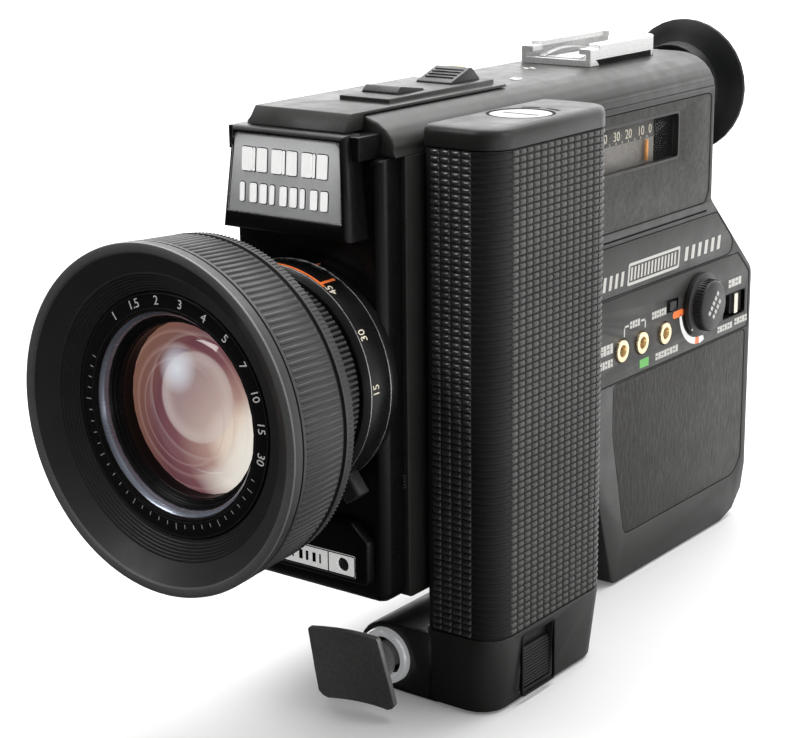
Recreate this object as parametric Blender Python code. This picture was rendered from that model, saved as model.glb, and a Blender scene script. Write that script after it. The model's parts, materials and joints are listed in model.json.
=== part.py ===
"""A sound cine camera for Super 8 cartridges, with its battery grip folded up beside the body.

Frame: +Z up, the lens looks along -Y, and +X is the side that the grip folds against.
The origin lies on the flat base of the film chamber, under the lens axis.
Every size and place below is in millimetres; points become metres where a mesh is made.
"""

import math

import bmesh
import bpy
from mathutils import Matrix, Vector

MM = 0.001

# Fits.
REST_GAP = 0.1        # between two fixed pieces that touch
RUN_GAP = 0.3         # between pieces that move against each other
BIG_ROUND = 36        # sides of a large turned piece
SMALL_ROUND = 20      # sides of a small turned piece

# Body casing.
BODY_HALF = 23.3      # half width across the casing
SHELL_FRONT = -128.7
UNDERSIDE = 28.0      # bottom of the front section
CHAMBER_FRONT = -33.0  # front edge of the film chamber at the table
CHAMBER_REAR = 47.0
SEAM = 135.3          # joint between the side covers and the top cover
SLOPE_LOW = 77.4      # the rear slope meets the chamber's rear face here
SLOPE_HIGH = 102.8    # and meets the upper rear face here
UPPER_REAR = 19.5
ROOF = 144.55
ROOF_HALF = 12.0      # half width of the flat roof between its shoulders
COVER_FRONT = SHELL_FRONT - 3.4
WALL = 1.9
PANEL_DEEP = 0.8      # depth of the pockets that hold the covering panels
PANEL_GAP = 0.3

# Front of the body.
FACE = -136.6         # front panel's face
FACE_HALF = 22.0
HEAD_FRONT = -145.0   # nameplate housing at its foot
HEAD_LEAN = 2.0       # how far its top leans back
HEAD_LOW = 117.3
HEAD_HIGH = 141.2
HEAD_HALF_LOW = 18.7
HEAD_HALF_HIGH = 16.7
MIC_FRONT = -139.6
MIC_HALF = 19.0
MIC_LOW = 33.2
MIC_HIGH = 48.6

# Lens.
AXIS_Z = 83.6
BARREL_R = 22.0
SPIGOT_R = 19.4       # the barrel where it passes through the front panel
ZOOM_R = 27.5
ZOOM_REAR = -140.3
ZOOM_FRONT = -149.3
FOCUS_R = 25.4
FOCUS_FRONT = -163.8
BEZEL_R = 27.9
BEZEL_Y = -184.0
GLASS_R = 20.0
HOOD_REAR = -167.6
HOOD_FRONT = -189.9
HOOD_R_REAR = 38.4
HOOD_R_FRONT = 39.7
MACRO_ANGLE = math.radians(-53)

# Grip, folded up.
GRIP_IN = 23.8
GRIP_OUT = 45.0
GRIP_FRONT = -124.0
GRIP_REAR = -72.0
GRIP_FOOT = 19.0
GRIP_CAP = 137.1
GRIP_TOP = 142.4
OUTER_ROUND = 7.0     # the two upright edges under the palm
INNER_ROUND = 2.6     # the two beside the body
FOOT_TAPER = 1.6      # how far the foot draws in below the sleeve, outside and behind
SLEEVE_WALL = 0.9
TUBE_WALL = 0.8
HINGE_X = 12.3
HINGE_Z = 8.8
BOSS_R = 8.7
COLLAR_R = 7.2        # chrome ring round the trigger's stem
PIN_R = 3.0
CELL_R = 7.15
CELL_LONG = 50.5
CELL_FLOOR = GRIP_FOOT - 0.4

# Finder.
EYE_Z = 131.0
EYE_TUBE_R = 11.0
EYECUP_R = 20.0
EYECUP_REAR = 46.5

BLACK = ((0.028, 0.027, 0.026), 0.45, 0.0)
SATIN = ((0.035, 0.034, 0.033), 0.5, 0.0)
RUBBER = ((0.018, 0.018, 0.018), 0.8, 0.0)
LEATHERETTE = ((0.04, 0.038, 0.037), 0.6, 0.0)
SILVER = ((0.8, 0.8, 0.79), 0.3, 1.0)
STEEL = ((0.55, 0.55, 0.56), 0.35, 1.0)
BRASS = ((0.75, 0.6, 0.32), 0.35, 1.0)
GLASS = ((0.75, 0.6, 0.6), 0.05, 0.0)
WHITE = ((0.85, 0.84, 0.8), 0.5, 0.0)
CREAM = ((0.8, 0.74, 0.6), 0.5, 0.0)
ORANGE = ((0.85, 0.25, 0.08), 0.5, 0.0)
CELL_SKIN = ((0.1, 0.12, 0.3), 0.4, 0.3)


# ---------------------------------------------------------------- mesh makers

def material(name, finish):
    """A Principled material, made once for each name."""
    found = bpy.data.materials.get(name)
    if found:
        return found
    made = bpy.data.materials.new(name)
    made.use_nodes = True
    shader = made.node_tree.nodes["Principled BSDF"]
    colour, rough, metal = finish
    shader.inputs["Base Color"].default_value = (*colour, 1.0)
    shader.inputs["Roughness"].default_value = rough
    shader.inputs["Metallic"].default_value = metal
    made.diffuse_color = (*colour, 1.0)
    return made


def empty(name, place, parent=None):
    """A joint's or an assembly's frame, at place in the camera's frame."""
    made = bpy.data.objects.new(name, None)
    bpy.context.scene.collection.objects.link(made)
    origin = Vector(place) * MM
    made["origin_mm"] = list(place)
    if parent:
        made.parent = parent
        origin = origin - Vector(parent["origin_mm"]) * MM
    made.location = origin
    return made


def put(name, points, faces, look, parent):
    """An object from points in millimetres in the camera's frame, with its origin on its parent's frame."""
    origin = Vector(parent["origin_mm"])
    mesh = bpy.data.meshes.new(name)
    mesh.from_pydata([(Vector(p) - origin) * MM for p in points], [], faces)
    shape = bmesh.new()
    shape.from_mesh(mesh)
    bmesh.ops.recalc_face_normals(shape, faces=shape.faces)
    shape.to_mesh(mesh)
    shape.free()
    made = bpy.data.objects.new(name, mesh)
    bpy.context.scene.collection.objects.link(made)
    made.parent = parent
    if look:
        mesh.materials.append(material(look[0], look[1]))
    return made


def rounded(corners, grow=0.0, steps=3):
    """Outline points from (u, v, radius) corners, anticlockwise; grow moves every side outwards."""
    count = len(corners)
    sides = []
    for index in range(count):
        a = Vector(corners[index][:2])
        b = Vector(corners[(index + 1) % count][:2])
        along = (b - a).normalized()
        outward = Vector((along.y, -along.x))
        sides.append((a + outward * grow, along))
    points = []
    for index in range(count):
        before, after = sides[index - 1], sides[index]
        turn = before[1].x * after[1].y - before[1].y * after[1].x
        reach = after[0] - before[0]
        slide = (reach.x * after[1].y - reach.y * after[1].x) / turn
        corner = before[0] + before[1] * slide
        radius = corners[index][2] + (grow if turn > 0 else -grow)
        if radius < 0.05 or corners[index][2] == 0:
            points.append(corner)
            continue
        half = math.acos(max(-1.0, min(1.0, before[1].dot(after[1])))) / 2
        back = radius * math.tan(half)
        side = 1 if turn > 0 else -1
        centre = corner - before[1] * back + Vector((-before[1].y, before[1].x)) * radius * side
        start = corner - before[1] * back - centre
        for step in range(steps + 1):
            angle = side * 2 * half * step / steps
            spoke = Vector((start.x * math.cos(angle) - start.y * math.sin(angle),
                            start.x * math.sin(angle) + start.y * math.cos(angle)))
            points.append(centre + spoke)
    return points


AXES = {
    "X": lambda u, v, w: (w, u, v),   # outline in (Y, Z), pushed along X
    "Y": lambda u, v, w: (u, w, v),   # outline in (X, Z), pushed along Y
    "Z": lambda u, v, w: (u, v, w),   # outline in (X, Y), pushed along Z
}


def prism(name, outline, axis, low, high, look, parent):
    """The outline pushed along an axis from low to high."""
    place = AXES[axis]
    count = len(outline)
    points = [place(p[0], p[1], low) for p in outline] + [place(p[0], p[1], high) for p in outline]
    faces = [tuple(range(count)), tuple(range(count, 2 * count))]
    faces += [(i, (i + 1) % count, count + (i + 1) % count, count + i) for i in range(count)]
    return put(name, points, faces, look, parent)


def block(name, low, high, look, parent):
    """A box between two corners."""
    outline = [(low[0], low[1]), (high[0], low[1]), (high[0], high[1]), (low[0], high[1])]
    return prism(name, outline, "Z", low[2], high[2], look, parent)


def slab(name, foot, head, look, parent):
    """A block between two level outlines with the same number of corners, given as (x, y, z) points."""
    count = len(foot)
    faces = [tuple(range(count)), tuple(range(count, 2 * count))]
    faces += [(i, (i + 1) % count, count + (i + 1) % count, count + i) for i in range(count)]
    return put(name, list(foot) + list(head), faces, look, parent)


def turned(name, profile, centre, axis, look, parent, sides=BIG_ROUND):
    """A closed (radius, along) profile turned about an axis through centre; radius 0 closes on the axis."""
    place = AXES[axis]
    points = []
    rings = []
    for radius, along in profile:
        if radius == 0:
            points.append(place(centre[0], centre[1], along))
            rings.append([len(points) - 1] * sides)
            continue
        ring = []
        for side in range(sides):
            angle = 2 * math.pi * side / sides
            ring.append(len(points))
            points.append(place(centre[0] + radius * math.cos(angle),
                                centre[1] + radius * math.sin(angle), along))
        rings.append(ring)
    faces = []
    count = len(profile)
    on_axis = [radius == 0 for radius, _ in profile]
    for index in range(count):
        after = (index + 1) % count
        if on_axis[index] and on_axis[after]:
            continue
        for side in range(sides):
            far = (side + 1) % sides
            face = [rings[index][side], rings[index][far], rings[after][far], rings[after][side]]
            faces.append(tuple(dict.fromkeys(face)))
    made = put(name, points, faces, look, parent)
    made.data.shade_smooth()
    made.data.set_sharp_from_angle(angle=math.radians(35))
    return made


def disc(name, radius, low, high, centre, axis, look, parent, sides=SMALL_ROUND):
    """A plain cylinder."""
    profile = [(0, low), (radius, low), (radius, high), (0, high)]
    return turned(name, profile, centre, axis, look, parent, sides)


def ring(name, inner, outer, low, high, centre, axis, look, parent, sides=BIG_ROUND):
    """A plain tube."""
    profile = [(inner, low), (outer, low), (outer, high), (inner, high)]
    return turned(name, profile, centre, axis, look, parent, sides)


def boolean(target, other, operation):
    """Joins or cuts target with other, which is then only a helper."""
    other.hide_render = True
    other.display_type = "WIRE"
    step = target.modifiers.new(f"{operation.lower()} {other.name}", "BOOLEAN")
    step.operation = operation
    step.object = other


def cut(target, *cutters):
    for cutter in cutters:
        boolean(target, cutter, "DIFFERENCE")


def join(target, *others):
    for other in others:
        boolean(target, other, "UNION")


def soften(piece, width, steps, wanted):
    """Rounds the edges of a piece whose two end points both pass wanted(point in the camera's frame)."""
    origin = Vector(piece.parent["origin_mm"])
    shape = bmesh.new()
    shape.from_mesh(piece.data)
    edges = [edge for edge in shape.edges
             if all(wanted(end.co / MM + origin) for end in edge.verts)]
    bmesh.ops.bevel(shape, geom=edges, offset=width * MM, segments=steps, profile=0.5,
                    affect="EDGES", clamp_overlap=True)
    shape.to_mesh(piece.data)
    shape.free()


# ---------------------------------------------------------------- outlines

def shell_outline(grow=0.0):
    """Side view of a side cover, as (Y, Z)."""
    corners = [
        (SHELL_FRONT, UNDERSIDE, 1.5),
        (CHAMBER_FRONT - 8.4, UNDERSIDE, 3.0),
        (CHAMBER_FRONT, 0.0, 3.0),
        (CHAMBER_REAR, 0.0, 15.0),
        (CHAMBER_REAR, SLOPE_LOW, 5.0),
        (UPPER_REAR, SLOPE_HIGH, 3.0),
        (UPPER_REAR, SEAM, 0.0),
        (SHELL_FRONT, SEAM, 0.0),
    ]
    return rounded(corners, grow)


def cavity_outline(open_top, open_front):
    """The hollow inside a side cover, open at the top and the front."""
    front = SHELL_FRONT - (5.0 if open_front else -WALL)
    top = SEAM + (5.0 if open_top else -WALL)
    corners = [
        (front, UNDERSIDE + WALL, 0.0),
        (CHAMBER_FRONT - 8.4 + 2.3, UNDERSIDE + WALL, 2.0),
        (CHAMBER_FRONT + 2.3, WALL, 2.0),
        (CHAMBER_REAR - WALL, WALL, 13.0),
        (CHAMBER_REAR - WALL, SLOPE_LOW - 0.9, 3.0),
        (UPPER_REAR - WALL, SLOPE_HIGH - 1.0, 3.0),
        (UPPER_REAR - WALL, top, 0.0),
        (front, top, 0.0),
    ]
    return rounded(corners)


PANELS = {
    "upper_leatherette": [(-112.0, 102.2, 1.5), (15.5, 102.2, 1.5), (17.6, 105.5, 1.0),
                          (17.6, 133.4, 1.5), (-112.0, 133.4, 1.5)],
    "trim_strip": [(-112.0, 84.2, 1.0), (38.6, 84.2, 3.0), (23.4, 98.0, 1.5), (-112.0, 98.0, 1.0)],
    "control_panel": [(-60.0, 59.5, 1.0), (45.2, 59.5, 1.0), (45.2, 76.4, 1.0),
                      (37.6, 83.4, 1.0), (-60.0, 83.4, 1.0)],
    "lower_leatherette": [(-26.8, 13.5, 3.0), (39.4, 13.5, 6.0), (43.6, 18.0, 3.0),
                          (43.6, 58.7, 1.5), (-34.0, 58.7, 1.5), (-34.0, 45.0, 3.0)],
}
DOOR = [(-29.0, 4.5, 3.0), (43.5, 4.5, 12.0), (43.5, 75.8, 4.0), (22.5, 95.2, 3.0), (-29.0, 95.2, 3.0)]
WINDOW = [(-58.0, 117.9, 0.6), (-1.2, 117.9, 0.6), (-1.2, 130.0, 0.6), (-58.0, 130.0, 0.6)]
JACKS = {"remote_jack": -29.9, "mic_jack": -19.0, "monitor_jack": -6.0}
JACK_Z = 67.9
DIAL = (13.9, 72.6)
DIAL_R = 9.3
SWITCH = [(29.6, 64.5, 0.4), (43.0, 64.5, 0.4), (43.0, 71.4, 0.4), (29.6, 71.4, 0.4)]
LOCK = [(-4.6, 73.6, 0.4), (1.4, 73.6, 0.4), (1.4, 76.8, 0.4), (-4.6, 76.8, 0.4)]


# ---------------------------------------------------------------- casing

def side_cover(name, side, root):
    """One moulded side of the body; side is +1 for the grip's side and -1 for the film door's side."""
    inner = side * REST_GAP / 2
    outer = side * BODY_HALF
    low, high = sorted((inner, outer))
    cover = prism(name, shell_outline(), "X", low, high, ("casing", SATIN), root)
    soften(cover, 2.0, 3, lambda p: abs(p.x - outer) < 0.01 and p.z < SEAM - 0.01
           and not (p.y < SHELL_FRONT + 0.01))
    low, high = sorted((side * -1.0, side * (BODY_HALF - WALL)))
    cut(cover, prism(f"{name}_hollow", cavity_outline(True, True), "X", low, high, None, root))
    return cover


def pocket_and_panel(name, cover, root):
    """A covering panel on the grip's side, and the pocket that it lies in."""
    corners = PANELS[name]
    floor = BODY_HALF - PANEL_DEEP
    cut(cover, prism(f"{name}_pocket", rounded(corners, PANEL_GAP), "X", floor, BODY_HALF + 1, None, root))
    look = ("leatherette", LEATHERETTE) if "leather" in name else ("panel", SATIN)
    return prism(name, rounded(corners), "X", floor + REST_GAP, BODY_HALF - REST_GAP, look, root)


def through(name, outline, root, low=12.0, high=BODY_HALF + 2):
    """A cutter that goes through the grip-side wall and its panels."""
    return prism(name, outline, "X", low, high, None, root)


def casing(root):
    left = side_cover("left_cover", 1, root)
    right = side_cover("right_cover", -1, root)
    panels = {name: pocket_and_panel(name, left, root) for name in PANELS}
    cut(left, through("window_hole", rounded(WINDOW), root))
    cut(panels["upper_leatherette"], through("window_frame", rounded(WINDOW, 0.3), root))
    for name, along in JACKS.items():
        for target, radius in ((left, 3.4), (panels["control_panel"], 3.4)):
            hole = disc(f"{name}_hole_{target.name}", radius, 12.0, BODY_HALF + 2,
                        (along, JACK_Z), "X", None, root, sides=16)
            cut(target, hole)
    for target in (left, panels["control_panel"]):
        cut(target, disc(f"dial_hole_{target.name}", 3.4, 12.0, BODY_HALF + 2, DIAL, "X", None, root, 16))
        cut(target, through(f"switch_hole_{target.name}", rounded(SWITCH), root))
        cut(target, through(f"lock_hole_{target.name}", rounded(LOCK), root))
    cut(right, prism("door_opening", rounded(DOOR, RUN_GAP), "X", -BODY_HALF - 1, -12.0, None, root))
    return left, right


def roof_outline(inset=0.0, foot=SEAM + REST_GAP):
    """Cross-section of the top cover, as (X, Z): a flat roof between two elliptical shoulders."""
    rise = ROOF - SEAM - inset
    run = BODY_HALF - ROOF_HALF
    steps = 6
    half = []
    for step in range(steps + 1):
        angle = math.pi / 2 * step / steps
        half.append((ROOF_HALF - inset + run * math.cos(angle), SEAM + rise * math.sin(angle)))
    half[0] = (half[0][0], foot)
    return half + [(-x, z) for x, z in reversed(half)]


def top_cover(root):
    front = COVER_FRONT
    cover = prism("top_cover", roof_outline(), "Y", front, UPPER_REAR, ("casing", SATIN), root)
    soften(cover, 2.6, 3, lambda p: (abs(p.y - front) < 0.01 or abs(p.y - UPPER_REAR) < 0.01)
           and p.z > SEAM + 0.5)
    hollow = prism("top_hollow", roof_outline(WALL, SEAM - 3), "Y", front + WALL, UPPER_REAR - WALL, None, root)
    cut(cover, hollow)
    return cover


def front_panel(root):
    """The front moulding that carries the lens."""
    corners = [(-FACE_HALF, UNDERSIDE, 3.0), (FACE_HALF, UNDERSIDE, 3.0),
               (FACE_HALF, SEAM, 0.0), (-FACE_HALF, SEAM, 0.0)]
    rear = SHELL_FRONT - REST_GAP
    panel = prism("front_panel", rounded(corners), "Y", FACE, rear, ("front", BLACK), root)
    soften(panel, 4.5, 4, lambda p: abs(p.y - FACE) < 0.01 and (abs(p.x) > FACE_HALF - 3.1))
    hollow = prism("front_hollow", rounded(corners, -WALL), "Y", FACE + WALL, rear + 2, None, root)
    hole = disc("lens_hole", SPIGOT_R + RUN_GAP, FACE - 3, rear + 3, (0, AXIS_Z), "Y", None, root, BIG_ROUND)
    cut(panel, hollow, hole)
    return panel


def head_quad(z, margin, rear):
    """The head's level section at height z: a quad whose front leans back and narrows upwards."""
    share = (z - HEAD_LOW) / (HEAD_HIGH - HEAD_LOW)
    front = HEAD_FRONT + HEAD_LEAN * share + margin[1]
    half = HEAD_HALF_LOW + (HEAD_HALF_HIGH - HEAD_HALF_LOW) * share - margin[0]
    return [(-half, front, z), (half, front, z), (half, rear, z), (-half, rear, z)]


def head(root):
    """The nameplate housing over the lens, with its badge plate."""
    joint = FACE - REST_GAP
    housing = slab("nameplate_housing", head_quad(HEAD_LOW, (0, 0), joint),
                   head_quad(HEAD_HIGH, (0, 0), joint), ("front", BLACK), root)
    soften(housing, 1.8, 3, lambda p: p.y < joint - 1)
    ledge_rear = COVER_FRONT - REST_GAP
    ledge = block("head_ledge", (-19.2, FACE - 4.0, SEAM + REST_GAP),
                  (19.2, ledge_rear, HEAD_HIGH - 0.4), None, root)
    join(housing, ledge)
    badge_low, badge_high = HEAD_LOW + 4.0, HEAD_HIGH - 1.4
    depth = 1.6
    pocket = slab("badge_pocket",
                  [(x, y if y < HEAD_FRONT + 3 else HEAD_FRONT + 2.0 + depth, badge_low)
                   for x, y, _ in head_quad(badge_low, (1.2, -1.0), 0.0)],
                  [(x, y if y < HEAD_FRONT + 3 else HEAD_FRONT + 2.0 + depth, badge_high)
                   for x, y, _ in head_quad(badge_high, (1.2, -1.0), 0.0)], None, root)
    cut(housing, pocket)
    floor = HEAD_FRONT + 2.0 + depth - REST_GAP
    badge = slab("name_badge",
                 [(x, y if y < HEAD_FRONT + 3 else floor, badge_low + 0.3)
                  for x, y, _ in head_quad(badge_low + 0.3, (1.5, 0.5), 0.0)],
                 [(x, y if y < HEAD_FRONT + 3 else floor, badge_high - 0.3)
                  for x, y, _ in head_quad(badge_high - 0.3, (1.5, 0.5), 0.0)], ("badge", BLACK), root)
    return housing, badge


def microphone(root):
    corners = [(-MIC_HALF, MIC_LOW, 1.5), (MIC_HALF, MIC_LOW, 1.5),
               (MIC_HALF, MIC_HIGH - 4.5, 1.5), (MIC_HALF - 5.0, MIC_HIGH, 1.5),
               (-MIC_HALF + 5.0, MIC_HIGH, 1.5), (-MIC_HALF, MIC_HIGH - 4.5, 1.5)]
    joint = FACE - REST_GAP
    housing = prism("mic_housing", rounded(corners), "Y", MIC_FRONT, joint, ("front", BLACK), root)
    soften(housing, 0.8, 2, lambda p: abs(p.y - MIC_FRONT) < 0.01)
    plate = [(-15.2, 33.9 + 0.8, 0.3), (15.2, 34.7, 0.3), (15.2, 40.1, 0.3), (-15.2, 40.1, 0.3)]
    deep = MIC_FRONT + 1.0
    cut(housing, prism("mic_plate_pocket", rounded(plate, 0.25), "Y", MIC_FRONT - 1, deep, None, root))
    sound_hole = (11.4, 37.4)
    cut(housing, disc("mic_bore", 1.9, MIC_FRONT - 1, joint - 0.8, sound_hole, "Y", None, root, 16))
    face = prism("mic_plate", rounded(plate), "Y", MIC_FRONT + 0.2, deep - REST_GAP, ("label", WHITE), root)
    cut(face, disc("mic_face_hole", 1.8, MIC_FRONT - 1, deep + 1, sound_hole, "Y", None, root, 16))
    return housing


# ---------------------------------------------------------------- roof

DECK_HALF = 14.3
DECK_FRONT = -136.4
DECK_REAR = -74.0
DECK_TOP = 145.3
CARRIER = [(-3.5, -119.0, 0.8), (11.5, -119.0, 0.8), (11.5, -75.0, 0.8), (-3.5, -75.0, 0.8)]
CARRIER_TOP = 146.4
BUTTON_LOW = 145.6
BUTTON_SIDES = (-2.1, 8.3)
BUTTONS = {"tele_button": (-111.5, -100.8, 148.1, -1), "wide_button": (-89.5, -77.2, 149.8, 1)}


def button_outline(front, rear, high, ramp):
    """Side view of a zoom button as (Y, Z): a steep outer end and a long ramp towards its partner."""
    low, mid = BUTTON_LOW, BUTTON_LOW + 1.2
    if ramp < 0:
        corners = [(front, low, 0), (rear, low, 0), (rear, mid, 0.4), (front + 1.6, high, 0.7), (front, mid, 0.4)]
    else:
        corners = [(front, low, 0), (rear, low, 0), (rear, mid, 0.6), (rear - 3.4, high, 1.2), (front, mid, 0.4)]
    return rounded(corners)


def zoom_buttons(root):
    side = [(DECK_FRONT - 3.2, HEAD_HIGH + REST_GAP, 0), (COVER_FRONT - REST_GAP, HEAD_HIGH + REST_GAP, 0),
            (COVER_FRONT - REST_GAP, ROOF + REST_GAP, 0), (DECK_REAR, ROOF + REST_GAP, 0),
            (DECK_REAR, DECK_TOP, 0.5), (DECK_FRONT, DECK_TOP, 0.4)]
    deck = prism("zoom_button_deck", rounded(side, steps=2), "X", -DECK_HALF, DECK_HALF, ("casing", SATIN), root)
    join(deck, prism("button_carrier", rounded(CARRIER), "Z", DECK_TOP - 0.5, CARRIER_TOP, None, root))
    low, high = BUTTON_SIDES
    for name, (front, rear, top, ramp) in BUTTONS.items():
        frame = empty(f"{name}_frame", ((low + high) / 2, (front + rear) / 2, BUTTON_LOW), root)
        well = rounded([(low - RUN_GAP, front - RUN_GAP, 0), (high + RUN_GAP, front - RUN_GAP, 0),
                        (high + RUN_GAP, rear + RUN_GAP, 0), (low - RUN_GAP, rear + RUN_GAP, 0)])
        cut(deck, prism(f"{name}_well", well, "Z", ROOF - 1, CARRIER_TOP + 1, None, root))
        prism(name, button_outline(front, rear, top, ramp), "X", low, high, ("button", BLACK), frame)
    return deck


def accessory_shoe(root):
    low, top, lip = ROOF + REST_GAP, 150.2, 148.8
    half = [(0.0, low), (11.0, low), (11.0, top), (7.4, top), (7.4, lip), (9.3, lip), (9.3, low + 1.6), (0.0, low + 1.6)]
    outline = half[1:7] + [(-x, z) for x, z in reversed(half[1:7])]
    return prism("accessory_shoe", outline, "Y", -28.5, 9.0, ("bright_metal", SILVER), root)


# ---------------------------------------------------------------- finder

def finder(root):
    eye = (0.0, EYE_Z)
    start = UPPER_REAR + REST_GAP
    rim = 42.0
    turned("eyepiece_tube", [(8.6, start), (EYE_TUBE_R + 1.6, start), (EYE_TUBE_R + 1.6, start + 6),
                             (EYE_TUBE_R, start + 7), (EYE_TUBE_R, rim), (8.6, rim)],
           eye, "Y", ("casing", SATIN), root, 28)
    turned("eyepiece_lens", [(0, 35.2), (5.0, 35.6), (8.5, 36.8), (8.5, 39.0), (5.0, 40.2), (0, 40.6)],
           eye, "Y", ("glass", GLASS), root, 24)
    frame = empty("eyecup_frame", (0.0, 40.0, EYE_Z), root)
    turned("eyecup", [(EYE_TUBE_R + RUN_GAP, 35.0), (13.2, 35.0), (13.6, 39.5), (16.5, 41.2), (EYECUP_R, 43.6),
                      (EYECUP_R, 45.0), (18.6, EYECUP_REAR), (16.2, 45.2), (13.0, 43.4), (EYE_TUBE_R + RUN_GAP, 42.6)],
           eye, "Y", ("rubber", RUBBER), frame, 32)


# ---------------------------------------------------------------- lens

def lens(root):
    axis = (0.0, AXIS_Z)
    seat = FACE - REST_GAP
    turned("lens_barrel", [(17.0, FOCUS_FRONT), (BARREL_R, FOCUS_FRONT), (BARREL_R, ZOOM_REAR + RUN_GAP),
                           (26.6, ZOOM_REAR + RUN_GAP), (26.6, seat), (SPIGOT_R, seat), (SPIGOT_R, -126.0), (17.0, -126.0)],
           axis, "Y", ("lens_black", BLACK), root)
    turned("rear_lens_group", [(0, -151.0), (10, -150.2), (16.8, -147.6), (16.8, -141.0), (10, -138.4), (0, -137.6)],
           axis, "Y", ("glass", GLASS), root, 24)
    zoom = empty("zoom_frame", (0, ZOOM_REAR, AXIS_Z), root)
    inner = BARREL_R + RUN_GAP
    zoom_ring = turned("zoom_ring", [(inner, ZOOM_FRONT), (ZOOM_R - 1.2, ZOOM_FRONT), (ZOOM_R, ZOOM_FRONT + 1.4),
                                     (ZOOM_R, ZOOM_REAR), (inner, ZOOM_REAR)],
                       axis, "Y", ("lens_black", BLACK), zoom)
    macro_lever(zoom_ring, zoom)
    focus = empty("focus_frame", (0, FOCUS_FRONT, AXIS_Z), root)
    ring("focus_ring", inner, FOCUS_R, FOCUS_FRONT + 0.1, ZOOM_FRONT - RUN_GAP, axis, "Y",
         ("lens_black", BLACK), focus)
    rear = FOCUS_FRONT - RUN_GAP
    turned("front_barrel", [(21.0, BEZEL_Y + 4.6), (23.4, BEZEL_Y + 1.6), (23.6, BEZEL_Y), (BEZEL_R, BEZEL_Y),
                            (BEZEL_R, rear), (GLASS_R + 0.3, rear), (GLASS_R + 0.3, rear - 6), (GLASS_R + 0.3, BEZEL_Y + 4.6)],
           axis, "Y", ("lens_black", BLACK), focus)
    turned("front_lens", [(0, -178.6), (7, -178.3), (13, -177.4), (GLASS_R, -175.4), (GLASS_R, -171.4), (0, -171.4)],
           axis, "Y", ("glass", GLASS), focus, 32)
    turned("lens_hood", [(36.9, HOOD_FRONT), (HOOD_R_FRONT, HOOD_FRONT), (HOOD_R_REAR + 0.2, HOOD_REAR - 2),
                         (HOOD_R_REAR, HOOD_REAR), (36.2, HOOD_REAR), (36.4, -180.0), (30.4, -178.0), (30.4, -174.0),
                         (BEZEL_R + REST_GAP, -174.0), (BEZEL_R + REST_GAP, BEZEL_Y - 0.2), (36.2, HOOD_FRONT + 2.2)],
           axis, "Y", ("rubber", RUBBER), focus)


def macro_lever(zoom_ring, zoom):
    """The small push knob on the zoom ring that unlocks its close-up range; it slides in towards the axis."""
    out = Vector((math.cos(MACRO_ANGLE), 0, math.sin(MACRO_ANGLE)))
    across = Vector((-out.z, 0, out.x))
    centre = Vector((0, ZOOM_REAR - 3.4, AXIS_Z))
    frame = empty("macro_frame", centre + out * ZOOM_R, zoom)

    def stud(name, half_long, half_wide, low, high, look, parent):
        outline = rounded([(-half_wide, -half_long, 1), (half_wide, -half_long, 1),
                           (half_wide, half_long, 1), (-half_wide, half_long, 1)])
        count = len(outline)
        points = [centre + across * u + Vector((0, v, 0)) + out * height
                  for height in (low, high) for u, v in outline]
        faces = [tuple(range(count)), tuple(range(count, 2 * count))]
        faces += [(i, (i + 1) % count, count + (i + 1) % count, count + i) for i in range(count)]
        return put(name, points, faces, look, parent)

    long, wide = 2.3, 2.6
    cut(zoom_ring, stud("macro_slot", long + RUN_GAP, wide + RUN_GAP, BARREL_R + 2.2, ZOOM_R + 4, None, zoom))
    stud("macro_lever", long, wide, BARREL_R + 4.2, ZOOM_R + 5.4, ("button", BLACK), frame)


# ---------------------------------------------------------------- controls on the grip's side

def controls(root):
    for name, along in JACKS.items():
        turned(name, [(1.75, 13.0), (3.1, 13.0), (3.1, BODY_HALF + 0.5), (1.75, BODY_HALF + 0.5)],
               (along, JACK_Z), "X", ("brass", BRASS), root, 20)
    dial = empty("dial_frame", (BODY_HALF, *DIAL), root)
    turned("record_dial", [(0, 15.0), (3.0, 15.0), (3.0, BODY_HALF + 0.2), (DIAL_R, BODY_HALF + 0.2),
                           (DIAL_R, 25.0), (7.6, 25.3), (7.3, 28.0), (6.6, 28.5), (0, 28.7)],
           DIAL, "X", ("button", BLACK), dial, 28)
    switch = empty("switch_frame", (21.0, 38.0, 68.0), root)
    slider = prism("sound_switch", rounded([(35.4, 64.9, 0.2), (42.6, 64.9, 0.2), (42.6, 71.0, 0.2), (35.4, 71.0, 0.2)]),
                   "X", 20.4, 22.2, ("button", BLACK), switch)
    join(slider, block("switch_bar", (22.0, 36.5, 65.2), (23.2, 38.6, 70.7), None, switch))
    lock = empty("lock_frame", (22.0, -1.6, 75.2), root)
    prism("lock_button", rounded([(-4.2, 74.0, 0.3), (-0.6, 74.0, 0.3), (-0.6, 76.4, 0.3), (-4.2, 76.4, 0.3)]),
          "X", 20.8, 23.9, ("button", BLACK), lock)


def counter(root):
    prism("counter_window", rounded(WINDOW, -0.3), "X", 22.0, 22.8, ("glass", GLASS), root)
    block("counter_scale", (18.4, -60.0, 116.5), (19.4, 3.0, 131.4), ("scale", BLACK), root)
    frame = empty("counter_frame", (20.6, -14.0, 121.0), root)
    block("counter_needle", (20.2, -14.6, 118.3), (20.8, -13.4, 124.0), ("needle", ORANGE), frame)


# ---------------------------------------------------------------- film chamber and drive

SHUTTER_AXIS = (-1.0, 67.0)
GEAR_TEETH = 36
PINION_TEETH = 12
MODULE = 0.7
GEAR_Y = (-52.0, -49.0)


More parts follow.
